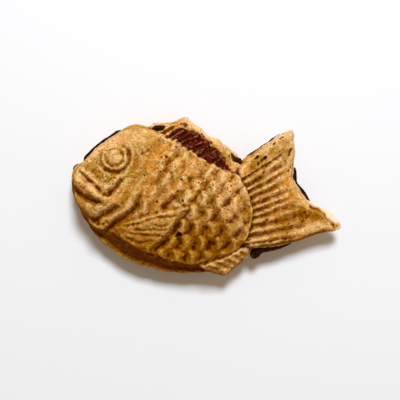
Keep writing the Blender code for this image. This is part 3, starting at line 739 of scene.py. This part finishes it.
def crust_height(x, y, underside):
    """Height of the crust's outer surface over the seam, on one side of it."""
    x, y = wander(x, y)
    body, in_face = body_form(x, y, underside)
    strength = UNDERSIDE_RELIEF if underside else 1.0
    relief = face_relief(x, y)
    in_face = in_face + REAR_MARGIN * ease(x, 110, 120) * ease(y, 122, 112)
    body = body + strength * np.maximum(relief, 0) * ease(in_face, -1.2, 1.2)
    body = body + strength * np.minimum(relief, 0) * ease(in_face, -3.2, -0.6)
    fin = back_fin_form(x, y, underside)
    if not underside:
        body = body - TOP_CREASE_DEPTH * stroke(TOP_CREASE, TOP_CREASE_WIDTH, x, y)
        torn = layered_noise(TORN_EDGE, x, y)
        opened = ease(depth_inside(VALLEY_OPEN, x, y) + torn, -0.3, 0.5)
        body = body + (np.minimum(body, VALLEY_FLOOR) - body) * opened
        fin = fin + (np.minimum(fin, VALLEY_FLOOR + front_rays(x, y)) - fin) * opened
    return np.maximum.reduce((body, tail_form(x, y), fin, belly_fin_form(x, y),
                              np.full(x.shape, LIP)))


def paste_height(x, y, underside):
    """Height of the filling's surface over the seam, on one side of it."""
    x, y = wander(x, y)
    body, _ = body_form(x, y, underside)
    in_shell = depth_inside(BODY, x, y) - SHELL
    lens = (body - SHELL) * ease(in_shell, 0, 2.5)
    tail = TAIL_FILLING * within(TAIL_CORE, -0.5, 1, x, y)
    height = np.maximum.reduce((lens, tail, np.full(x.shape, LEAK)))
    if not underside:
        rays = soft_marks(PASTE_RAYS, x, y)
        lumps = bean_lumps(x, y) * ease(x, 91, 101)
        for outline, top in ((VALLEY, VALLEY_FILLING), (FIN_GAP, FIN_GAP_FILLING),
                             (FIN_TIP, FIN_TIP_FILLING)):
            depth = depth_inside(outline, x, y)
            bulge = LEAK + (top - LEAK) * ease(depth, *BULGE_EDGE)
            bulge = bulge + (rays + lumps) * ease(depth, 0.3, 1.6)
            height = np.where(depth > BULGE_EDGE[0], np.maximum(height, bulge), height)
    return height


def bean_lumps(x, y):
    """Crushed beans and their skins, as low domes scattered over the filling."""
    chance = np.random.default_rng(21)
    lumps = np.zeros(x.shape)
    for _ in range(LUMPS):
        middle_x = chance.uniform(*LUMPS_ALONG)
        middle_y = chance.uniform(*LUMPS_ACROSS)
        radius = chance.uniform(*LUMP_RADIUS)
        stretch = chance.uniform(*LUMP_STRETCH)
        turn = chance.uniform(*LUMP_TURN)
        near = np.hypot(x - middle_x, y - middle_y) < radius
        out_x = x[near] - middle_x
        out_y = y[near] - middle_y
        along = out_x * math.cos(turn) + out_y * math.sin(turn)
        across = (out_y * math.cos(turn) - out_x * math.sin(turn)) / stretch
        dome = np.sqrt(np.clip(1 - (along ** 2 + across ** 2) / radius ** 2, 0, 1))
        lumps[near] = np.maximum(lumps[near], LUMP_HEIGHT * radius * stretch * dome)
    return lumps


def evaluated_mesh(item):
    bpy.context.view_layer.update()
    final = item.evaluated_get(bpy.context.evaluated_depsgraph_get())
    return bpy.data.meshes.new_from_object(final)


def add_object(name, data):
    item = bpy.data.objects.new(name, data)
    bpy.context.scene.collection.objects.link(item)
    return item


def evened(item, cell):
    """The item's surface, made again with even faces of that size."""
    remesh = item.modifiers.new("Even surface", "REMESH")
    remesh.mode = "VOXEL"
    remesh.voxel_size = cell * MM
    item.data = evaluated_mesh(item)
    item.modifiers.clear()


def flat_slab(name, outlines, cell):
    """One flat slab, two units thick, over all of the outlines together."""
    joined = bmesh.new()
    for outline in outlines:
        curve = bpy.data.curves.new(name + "_outline", "CURVE")
        curve.dimensions = "2D"
        curve.fill_mode = "BOTH"
        curve.extrude = MM
        spline = curve.splines.new("POLY")
        drawn_x, drawn_y = outline[:, 0], outline[:, 1]
        uneven_x, uneven_y = wander(drawn_x, drawn_y)
        corners = zip(2 * drawn_x - uneven_x - SHEET_CENTRE[0],
                      SHEET_CENTRE[1] - 2 * drawn_y + uneven_y)
        spline.points.add(len(outline) - 1)
        for point, (x, y) in zip(spline.points, corners):
            point.co = (x * MM, y * MM, 0, 1)
        spline.use_cyclic_u = True
        holder = add_object(name + "_outline", curve)
        joined.from_mesh(evaluated_mesh(holder))
        bpy.data.objects.remove(holder)
    bmesh.ops.remove_doubles(joined, verts=joined.verts, dist=0.00001)
    mesh = bpy.data.meshes.new(name)
    joined.to_mesh(mesh)
    joined.free()
    slab = add_object(name, mesh)
    evened(slab, cell)
    return slab


def read_vectors(mesh, name):
    vectors = np.empty(len(mesh.vertices) * 3)
    mesh.vertices.foreach_get(name, vectors)
    return vectors.reshape(-1, 3)


def read_points(mesh):
    """The mesh's points in millimetres."""
    return read_vectors(mesh, "co") / MM


def read_normals(mesh):
    return read_vectors(mesh, "normal")


def on_sheet(points):
    """Where the points lie on the sheet."""
    return points[:, 0] + SHEET_CENTRE[0], SHEET_CENTRE[1] - points[:, 1]


def write_points(mesh, points):
    mesh.vertices.foreach_set("co", (points * MM).ravel())
    mesh.update()


def press_relief(slab, height):
    """Move the slab's two faces to their heights over and under the seam."""
    points = read_points(slab.data)
    x, y = on_sheet(points)
    share = points[:, 2] / np.abs(points[:, 2]).max()
    over = height(x, y, False)
    under = height(x, y, True)
    points[:, 2] = SEAM_Z + np.where(share > 0, share * over, share * under)
    write_points(slab.data, points)


def neighbour_mean(values, edges, rounds):
    """The values, each replaced by its neighbours' mean, that many times."""
    count = len(values)
    ways = np.bincount(edges.ravel(), minlength=count)
    for _ in range(rounds):
        sums = np.empty_like(values)
        for axis in range(values.shape[1]):
            column = values[:, axis]
            sums[:, axis] = (np.bincount(edges[:, 0], column[edges[:, 1]], count)
                             + np.bincount(edges[:, 1], column[edges[:, 0]], count))
        values = 0.5 * values + 0.5 * sums / np.maximum(ways, 1)[:, None]
    return values


def hollowness(mesh, rounds):
    """How far each point lies below the surface round it, in millimetres."""
    points = read_points(mesh)
    edges = np.empty(len(mesh.edges) * 2, int)
    mesh.edges.foreach_get("vertices", edges)
    smoothed = neighbour_mean(points, edges.reshape(-1, 2), rounds)
    return np.sum((smoothed - points) * read_normals(mesh), axis=1)


def choose_pores(points, normals, chance):
    """Each pore's point, its radius and the height of its rim."""
    x, y = on_sheet(points)
    hidden = np.where(normals[:, 2] > 0.5, 0, 1000)
    pores = []
    for pore_x, pore_y, radius, rim in PORES:
        index = np.argmin(np.hypot(x - pore_x, y - pore_y) + hidden)
        pores.append((index, radius, rim))
    clusters = layered_noise(PORE_CLUSTERS, *points.T)
    (cheek_x, cheek_y), (wide, high) = CHEEK_PORES
    cheek = np.exp(-(((x - cheek_x) / wide) ** 2 + ((y - cheek_y) / high) ** 2))
    from_back = ease(y + 0.2 * x, 80, 98)
    weight = FEW_PORES[0] + np.clip(clusters, 0, 2)
    weight = weight * (FEW_PORES[1] + (1 - FEW_PORES[1]) * from_back) + CHEEK_SHARE * cheek
    chosen = chance.choice(len(points), SMALL_PORES, replace=False, p=weight / weight.sum())
    for index in chosen:
        growth = SMALL_PORE_GROWTH * chance.random() ** SMALL_PORE_RARITY
        pores.append((index, SMALL_PORE_RADIUS + growth, SMALL_PORE_RIM))
    return pores


def press_pores(mesh):
    """Open the pores that baking left, and return how deep in a pore each point lies."""
    chance = np.random.default_rng(31)
    points = read_points(mesh)
    normals = read_normals(mesh)
    tree = KDTree(len(points))
    for index, point in enumerate(points):
        tree.insert(point, index)
    tree.balance()
    depth = np.zeros(len(points))
    rims = np.zeros(len(points))
    uneven = 1 + layered_noise(PORE_OUTLINE, *points.T)
    for index, radius, rim in choose_pores(points, normals, chance):
        centre = points[index]
        stretch = 1 + PORE_VARIETY * chance.uniform(-1, 1)
        turn = chance.uniform(0, math.pi)
        if centre[0] > PORES_DRAWN_OUT[0]:
            stretch = DRAWN_OUT_STRETCH
            turn = math.radians(PORES_DRAWN_OUT[1])
        for _, other, _ in tree.find_range(centre, PORE_REACH * radius):
            out = points[other] - centre
            along = out[0] * math.cos(turn) + out[1] * math.sin(turn)
            reach = math.sqrt(max(out @ out + (stretch ** 2 - 1) * along ** 2, 0)) / radius
            reach *= uneven[other]
            at_rim = math.exp(-((reach - PORE_RIM_PLACE) / PORE_RIM_WIDTH) ** 2)
            depth[other] = max(depth[other], radius * math.exp(-reach ** 4))
            rims[other] = max(rims[other], rim * at_rim)
    points += normals * (rims - PORE_DEPTH * depth)[:, None]
    write_points(mesh, points)
    return depth - rims


def add_crumb(mesh):
    """The fine unevenness of the baked surface, and the line where the halves meet."""
    points = read_points(mesh)
    normals = read_normals(mesh)
    rough = layered_noise(CRUMB, *points.T)
    seam = SEAM_Z + layered_noise(SEAM_WANDER, points[:, 0], points[:, 1])
    on_side = 1 - np.clip(np.abs(normals[:, 2]) * SIDE_SHARPNESS, 0, 1)
    line = np.exp(-((points[:, 2] - seam) / SEAM_LINE_WIDTH) ** 2) * on_side
    points += normals * (rough - SEAM_LINE_DEPTH * line)[:, None]
    points[:, 2] = np.maximum(points[:, 2], 0)
    write_points(mesh, points)


def keep_values(mesh, name, values):
    layer = mesh.attributes.new(name, "FLOAT", "POINT")
    layer.data.foreach_set("value", values.astype(np.float32))


def half_of(mesh, name, above):
    """The part of the mesh above or below the seam, closed with a flat face."""
    half = bmesh.new()
    half.from_mesh(mesh)
    everything = half.verts[:] + half.edges[:] + half.faces[:]
    cut = bmesh.ops.bisect_plane(half, geom=everything, plane_co=(0, 0, SEAM_Z * MM),
                                 plane_no=(0, 0, 1), clear_inner=above, clear_outer=not above)
    border = [item for item in cut["geom_cut"] if isinstance(item, bmesh.types.BMEdge)]
    bmesh.ops.holes_fill(half, edges=border, sides=0)
    for edge in border:
        edge.smooth = False
    kept = bpy.data.meshes.new(name)
    half.to_mesh(kept)
    half.free()
    kept.shade_smooth()
    return add_object(name, kept)


def edge_share(depth, width):
    """1 at an outline's edge, fading to 0 at that depth inside it, and 0 outside it."""
    return ease(depth, width, 0.2 * width) * ease(depth, -1.0, -0.4)


def belly_wall_shade(x, y, normals, on_body, on_fin):
    """How much painted shade, with browning, each point gets on the steep wall round the face, on the
    belly's side only, and on the belly's ledge; less at the breast and along a few streaks.
    """
    _, in_face = body_form(x, y, False)
    at_breast = 1 - ease(x, 60, 74)
    on_ledge = ease(in_face, 0.2, -0.8) * ease(y - 0.3 * x, 84, 92) * (1 - on_fin)
    share = LEDGE_SHARE + LEDGE_SHARE_REAR * (1 - at_breast)
    depth = depth_inside(BODY, x, y) - BREAST_LEDGE * at_breast + layered_noise(LEDGE_EDGE, x, y)
    on_ledge = on_ledge * (share + (1 - share) * ease(depth, 1.6, 3.2))
    steep = 1 - ease(np.abs(normals[:, 2]), 0.3, 0.8)
    steep = steep * ease(in_face, 0.8, -0.8) * (1 - BELLY_FIN_PALENESS * on_fin)
    wall = np.maximum(steep * ease(y, 82, 98), on_ledge) * on_body
    wall = wall * (1 - BREAST_PALENESS * at_breast)
    return wall * (1 - STREAK_PALENESS * soft_marks(LEDGE_STREAKS, x, y))


def rear_tip_tints(x, y, in_tail):
    """At the tail's rear edge: the dark line inside the flap of batter, and the pale flap."""
    at_tip = at_rear_tip(x, y) * trailing_side(x, y)
    frayed = in_tail - tail_lip(x, y) + layered_noise(FRAYED_LIP, x, y)
    gaps = ease(layered_noise(LIP_GAPS, x, y), -0.6, 0.3)
    line = FLAP_LINE * at_tip * gaps * ease(frayed, -0.2, 0.2) * ease(frayed, 1.8, 0.8)
    flap = at_tip * ease(frayed, 0.3, -1.6) * ease(in_tail, -1.0, -0.4)
    flap = flap * (1 - ease(y, 110, 112.4))
    share, width = TAIL_PALE
    edge = share * ease(x - 0.35 * y, 108, 114) * edge_share(in_tail, width)
    return line, np.maximum(flap, edge) * trailing_side(x, y)


def region_tints(mesh):
    """How dark each point is made, how light, how thin its batter ran, and how much of the wall's painted
    shade it gets. Dark holds browning, painted shade in grooves, under the eye and along the lower edges,
    and a darkening towards the belly; light holds paler crust and a painted highlight on the eye's dome.
    """
    points = read_points(mesh)
    x, y = wander(*on_sheet(points))
    on_body = 1 - ease(x, 121, 129)
    on_belly_fin = within(BELLY_FIN, -0.5, 0.5, x, y)
    in_body = depth_inside(BODY, x, y)
    in_tail = depth_inside(TAIL, x, y)
    in_fin = depth_inside(BACK_FIN, x, y)
    wall = belly_wall_shade(x, y, read_normals(mesh), on_body, on_belly_fin)
    # Darker towards the belly
    brown_and_shade = ease(y + 0.1 * (x - 80), 84, 130) * on_body
    brown_and_shade = brown_and_shade + WALL_SHADE_SHARE * wall + layered_noise(BAKING, *points.T)
    brown_and_shade = brown_and_shade * (1 - BELLY_FIN_PALENESS * on_belly_fin)
    tail_edge = TAIL_EDGE_PALENESS * ease(in_tail, 4.5, 1.5)
    brown_and_shade = brown_and_shade + TAIL_BROWN * (1 - on_body) - tail_edge * (1 - on_body)
    at_rear = soft_marks(REAR_PLACES, x, y) * ease(in_body, -0.3, 0.8)
    brown_and_shade = brown_and_shade + soft_marks(BROWNED_AND_SHADED_PLACES, x, y) - at_rear
    light = soft_marks(PALE_AND_HIGHLIT_PLACES, x, y) + at_rear
    on_rim = ease(x, 89, 94) * (1 - ease(x, 116, 119.5)) * (1 - ease(in_body, 0.5, 2))
    light = light + RIM_LIGHT[0] * on_rim * edge_share(in_fin, RIM_LIGHT[1])
    line, pale = rear_tip_tints(x, y, in_tail)
    pale = np.maximum(pale, RIM_PALE[0] * on_rim * edge_share(in_fin, RIM_PALE[1]))
    return np.clip(brown_and_shade + line, 0, 1), np.clip(light, 0, 1), pale, wall


def make_crust():
    outlines = [smooth_path(part, closed=True, steps=10)
                for part in (BODY, TAIL, BACK_FIN, BELLY_FIN)]
    whole = flat_slab("crust_whole", outlines, CELL)
    press_relief(whole, crust_height)
    evened(whole, EVEN_CELL)
    add_crumb(whole.data)
    fine = hollowness(whole.data, FINE_ROUNDS)
    broad = hollowness(whole.data, BROAD_ROUNDS)
    pore = press_pores(whole.data)
    # The dark and light shares and the wall also hold painted shade and a painted highlight
    names = ("fine_hollow", "hollow", "pore", "brown_and_shade", "light", "pale", "wall")
    for name, values in zip(names, (fine, broad, pore, *region_tints(whole.data))):
        keep_values(whole.data, name, values)
    upper = half_of(whole.data, "upper_crust", above=True)
    lower = half_of(whole.data, "lower_crust", above=False)
    bpy.data.objects.remove(whole)
    return upper, lower


def make_paste():
    inside = [inset(smooth_path(BODY, closed=True), SHELL), smooth_path(TAIL_CORE, closed=True)]
    shown = [smooth_path(leak, closed=True, steps=8)
             for leak in (VALLEY, FIN_GAP, FIN_TIP) + SEAM_LEAKS]
    paste = flat_slab("filling", inside + shown, PASTE_CELL)
    press_relief(paste, paste_height)
    evened(paste, PASTE_CELL)
    points = read_points(paste.data)
    rough = layered_noise(PASTE_GRAIN, *points.T)
    write_points(paste.data, points + read_normals(paste.data) * rough[:, None])
    keep_values(paste.data, "hollow", hollowness(paste.data, PASTE_ROUNDS))
    x, y = wander(*on_sheet(points))
    # Everywhere but the valley by the back fin, that is where the filling shows at the seam: painted
    # shade there, over paste baked dark
    keep_values(paste.data, "seam", 1 - within(VALLEY, -2.5, -0.5, x, y))
    paste.data.shade_smooth()
    return paste


MIX_INPUTS = (0, 6, 7)      # of a mix node that mixes colours: the share and the two colours
MIX_OUTPUT = 2


class Nodes:
    """Short ways to write a material's node tree."""

    def __init__(self, name):
        self.material = bpy.data.materials.new(name)
        self.material.use_nodes = True
        self.tree = self.material.node_tree
        self.shader = self.tree.nodes["Principled BSDF"]
        self.place = self.tree.nodes.new("ShaderNodeTexCoord").outputs["Object"]

    def link(self, source, name):
        self.tree.links.new(source, self.shader.inputs[name])

    def add(self, kind, settings, inputs, output):
        """The output of a new node, whose inputs are values or the outputs of other nodes."""
        node = self.tree.nodes.new("ShaderNode" + kind)
        for name, value in settings.items():
            setattr(node, name, value)
        for name, value in inputs.items():
            if isinstance(value, (int, float, tuple)):
                node.inputs[name].default_value = value
            else:
                self.tree.links.new(value, node.inputs[name])
        return node.outputs[output]

    def noise(self, size, detail=2.0, roughness=0.5):
        inputs = {"Vector": self.place, "Scale": 1 / (size * MM), "Detail": detail,
                  "Roughness": roughness}
        return self.add("TexNoise", {}, inputs, "Fac")

    def dots(self, size):
        inputs = {"Vector": self.place, "Scale": 1 / (size * MM)}
        return self.add("TexVoronoi", {}, inputs, "Distance")

    def kept(self, name):
        return self.add("Attribute", {"attribute_name": name}, {}, "Fac")

    def span(self, value, low, high, to_low=0.0, to_high=1.0):
        inputs = {"Value": value, "From Min": low, "From Max": high, "To Min": to_low,
                  "To Max": to_high}
        return self.add("MapRange", {"interpolation_type": "SMOOTHSTEP"}, inputs, "Result")

    def math(self, kind, first, second):
        return self.add("Math", {"operation": kind}, {0: first, 1: second}, "Value")

    def mix(self, share, first, second, kind="MIX"):
        inputs = dict(zip(MIX_INPUTS, (share, first, second)))
        return self.add("Mix", {"data_type": "RGBA", "blend_type": kind}, inputs, MIX_OUTPUT)

    def coat(self, colour, value, low, high, share, tint):
        """The colour under a coat of the tint, which comes up as the value goes from low to high."""
        return self.mix(self.span(value, low, high, 0, share), colour, tint)

    def bump(self, height, strength, distance):
        inputs = {"Height": height, "Strength": strength, "Distance": distance * MM}
        self.link(self.add("Bump", {}, inputs, "Normal"), "Normal")


def linear(red, green, blue):
    """A screen colour, from 0 to 255, as the shader takes it."""
    values = []
    for value in (red, green, blue):
        value /= 255
        values.append(value / 12.92 if value <= 0.04045 else ((value + 0.055) / 1.055) ** 2.4)
    return (*values, 1.0)


GOLD = linear(212, 152, 62)
OLIVE = linear(170, 129, 40)
ORANGE = linear(196, 110, 22)
# Painted highlight on ridges and pore rims, also used for pale patches of crust
HIGHLIGHT_AND_PALE = linear(246, 202, 140)
# Painted shade in recesses and creases, over some browning there
RECESS_SHADE = linear(124, 57, 0)
CREASE_SHADE = linear(74, 16, 0)
# Browned crust, also standing for painted shade where it is marked; then its painted highlight
BROWNED_AND_SHADED = linear(150, 88, 0)
BROWNED_HIGHLIGHT = linear(196, 144, 52)
# Painted shade in the recesses of browned crust
DEEP_RECESS_SHADE = linear(70, 14, 0)
# Painted shade, with browning, on the belly's ledge and steep wall
LEDGE_SHADE = linear(112, 68, 8)
WALL_SHADE = linear(112, 46, 0)
SPECK = linear(96, 44, 0)
# Painted shade deep in the pores
PORE_SHADE = linear(38, 12, 0)
# Paler crust, and a painted highlight on the eye's dome
PALER_AND_HIGHLIGHT = linear(243, 194, 134)
PALE = linear(253, 229, 196)
CRUMB_DARK = (0.6, 0.46, 0.2, 1)
CRUMB_LIGHT = (1.16, 1.16, 1.16, 1)
CRUMB_SHARE = 0.52
CRUST_SPECULAR = 0.005

# Patches of colour: the noise's size, detail and roughness, its range, the share and the colour
PATCHES = (
    (7.5, 3, 0.5, 0.42, 0.6, 1.0, OLIVE),
    (5, 4, 0.6, 0.46, 0.66, 0.55, ORANGE),
    (2.4, 3, 0.6, 0.5, 0.66, 0.5, ORANGE),
    (3.4, 3, 0.6, 0.5, 0.64, 0.6, HIGHLIGHT_AND_PALE))

PASTE_DARK = linear(52, 8, 0)
PASTE_RED = linear(92, 22, 0)
# Bean skins, also a painted highlight on raised places; then painted shade in the hollows
PASTE_SKIN_AND_HIGHLIGHT = linear(204, 126, 84)
PASTE_HOLLOW_SHADE = linear(30, 5, 0)
# Painted shade, over paste baked dark, where the filling shows at the seam
PASTE_SEAM_SHADE = linear(26, 5, 0)
PASTE_SPECULAR = 0.04


def crust_material():
    look = Nodes("baked_crust")
    hollow = look.kept("hollow")
    fine = look.kept("fine_hollow")
    wall = look.kept("wall")
    pore = look.kept("pore")
    brown_and_shade = look.span(look.kept("brown_and_shade"), 0.0, 0.95)
    colour = GOLD
    for size, detail, roughness, low, high, share, tint in PATCHES:
        colour = look.coat(colour, look.noise(size, detail, roughness), low, high, share, tint)
    # Browning, with painted shade in grooves, under the eye and on the belly's side
    colour = look.mix(brown_and_shade, colour, BROWNED_AND_SHADED)
    # Paler crust, with a painted highlight on the eye's dome
    colour = look.mix(look.kept("light"), colour, PALER_AND_HIGHLIGHT)
    # Painted highlight on raised places, and painted shade, with some browning, in hollows and creases
    high = look.mix(brown_and_shade, HIGHLIGHT_AND_PALE, BROWNED_HIGHLIGHT)
    recess_shade = look.mix(brown_and_shade, RECESS_SHADE, DEEP_RECESS_SHADE)
    colour = look.coat(colour, hollow, -0.03, -0.45, 0.75, high)
    colour = look.coat(colour, hollow, 0.02, 0.5, 0.9, recess_shade)
    colour = look.coat(colour, hollow, 0.3, 0.9, 0.85, CREASE_SHADE)
    uneven = look.span(look.noise(2.6, 4, 0.6), 0.38, 0.6, 0.45, 1.0)
    # Painted shade, with browning, on the belly's ledge and on its steep wall
    colour = look.mix(look.math("MULTIPLY", look.span(wall, 0.1, 0.5), uneven), colour, LEDGE_SHADE)
    colour = look.mix(look.math("MULTIPLY", look.span(wall, 0.55, 0.95), uneven), colour, WALL_SHADE)
    # The same painted shade and highlight in the finer hollows and bumps
    colour = look.coat(colour, fine, 0.02, 0.16, 0.5, recess_shade)
    colour = look.coat(colour, fine, -0.02, -0.12, 0.45, high)
    crumb = look.mix(look.span(look.noise(1.1, 4, 0.6), 0.36, 0.62), CRUMB_DARK, CRUMB_LIGHT)
    colour = look.mix(CRUMB_SHARE, colour, crumb, "MULTIPLY")
    patchy = look.span(look.noise(5, 2), 0.38, 0.6, 0.25, 1.0)
    speckle = look.math("MULTIPLY", look.span(look.dots(1.25), 0.36, 0.18), patchy)
    colour = look.mix(look.math("MULTIPLY", speckle, 0.7), colour, SPECK)
    colour = look.mix(look.kept("pale"), colour, PALE)
    # Painted highlight on the pores' rims, their own brown, then painted shade deep in them
    colour = look.coat(colour, pore, -0.06, -0.3, 0.8, HIGHLIGHT_AND_PALE)
    colour = look.coat(colour, pore, 0.05, 0.3, 0.9, SPECK)
    colour = look.coat(colour, pore, 0.35, 0.8, 1.0, PORE_SHADE)
    look.link(colour, "Base Color")
    look.link(look.span(look.noise(2.2, 3), 0.3, 0.7, 0.42, 0.62), "Roughness")
    look.shader.inputs["Specular IOR Level"].default_value = CRUST_SPECULAR
    grain = look.math("ADD", look.noise(0.9, 3, 0.6), look.math("MULTIPLY", look.noise(1.8, 3, 0.6), 1.5))
    look.bump(look.math("ADD", grain, look.math("MULTIPLY", speckle, -0.8)), 0.6, 0.3)
    return look.material


def paste_material():
    look = Nodes("bean_paste_moist")
    hollow = look.kept("hollow")
    colour = look.mix(look.span(look.noise(2.5, 3), 0.4, 0.62), PASTE_DARK, PASTE_RED)
    colour = look.coat(colour, look.noise(1.6, 2), 0.56, 0.68, 0.3, PASTE_SKIN_AND_HIGHLIGHT)
    # Painted highlight, with skins, on the raised places, and painted shade in the hollows
    colour = look.coat(colour, hollow, -0.1, -0.4, 0.6, PASTE_SKIN_AND_HIGHLIGHT)
    colour = look.coat(colour, hollow, 0.05, 0.35, 0.8, PASTE_HOLLOW_SHADE)
    # Painted shade, over paste baked dark, where the filling shows at the seam
    colour = look.coat(colour, look.kept("seam"), 0.2, 0.8, 0.85, PASTE_SEAM_SHADE)
    look.link(colour, "Base Color")
    look.link(look.span(look.noise(1.1, 2), 0.3, 0.7, 0.45, 0.7), "Roughness")
    look.shader.inputs["Specular IOR Level"].default_value = PASTE_SPECULAR
    look.bump(look.noise(0.6, 3, 0.6), 0.5, 0.25)
    return look.material


FLOOR_REACH = 1.5
FLOOR_COLOUR = (0.86, 0.865, 0.875, 1)


def make_floor():
    mesh = bpy.data.meshes.new("floor")
    signs = ((-1, -1), (1, -1), (1, 1), (-1, 1))
    mesh.from_pydata([(x * FLOOR_REACH, y * FLOOR_REACH, 0) for x, y in signs], [], [(0, 1, 2, 3)])
    floor = add_object("floor", mesh)
    material = bpy.data.materials.new("pale_floor")
    material.use_nodes = True
    shader = material.node_tree.nodes["Principled BSDF"]
    shader.inputs["Base Color"].default_value = FLOOR_COLOUR
    shader.inputs["Roughness"].default_value = 0.6
    mesh.materials.append(material)


CAMERA_HEIGHT = 0.5
HALF_VIEW = 0.1         # half the width of what the photograph shows, at the seam's height
SENSOR = 36


def make_camera():
    camera = add_object("camera", bpy.data.cameras.new("camera"))
    bpy.context.scene.camera = camera
    camera.location = ((VIEW_AXIS[0] - SHEET_CENTRE[0]) * MM,
                       (SHEET_CENTRE[1] - VIEW_AXIS[1]) * MM, CAMERA_HEIGHT)
    camera.data.sensor_width = SENSOR
    camera.data.lens = SENSOR / 2 * (CAMERA_HEIGHT - SEAM_Z * MM) / HALF_VIEW


KEY_POWER = 25.6
KEY_SIZE = 0.36
KEY_COLOUR = (0.84, 0.91, 1.0)
KEY_AZIMUTH = math.radians(10)       # from +Y towards +X
KEY_ELEVATION = math.radians(61)
KEY_DISTANCE = 1.6
WORLD_COLOUR = (1.0, 0.8, 0.58, 1)
WORLD_STRENGTH = 0.35


def light_scene():
    light = bpy.data.lights.new("key", "AREA")
    light.energy = KEY_POWER
    light.size = KEY_SIZE
    light.color = KEY_COLOUR
    key = add_object("key", light)
    level = math.cos(KEY_ELEVATION)
    away = Vector((math.sin(KEY_AZIMUTH) * level, math.cos(KEY_AZIMUTH) * level,
                   math.sin(KEY_ELEVATION)))
    key.location = away * KEY_DISTANCE
    key.rotation_euler = away.to_track_quat("Z", "Y").to_euler()
    world = bpy.data.worlds.new("studio")
    bpy.context.scene.world = world
    world.use_nodes = True
    background = world.node_tree.nodes["Background"]
    background.inputs["Color"].default_value = WORLD_COLOUR
    background.inputs["Strength"].default_value = WORLD_STRENGTH
    bpy.context.scene.view_settings.view_transform = "Standard"


make_camera()
light_scene()
make_floor()

crust_look = crust_material()
for piece in make_crust():
    piece.data.materials.append(crust_look)
    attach(piece, "root")
    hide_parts("crust")

filling = make_paste()
filling.data.materials.append(paste_material())
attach(filling, "root")
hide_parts("bean_paste")
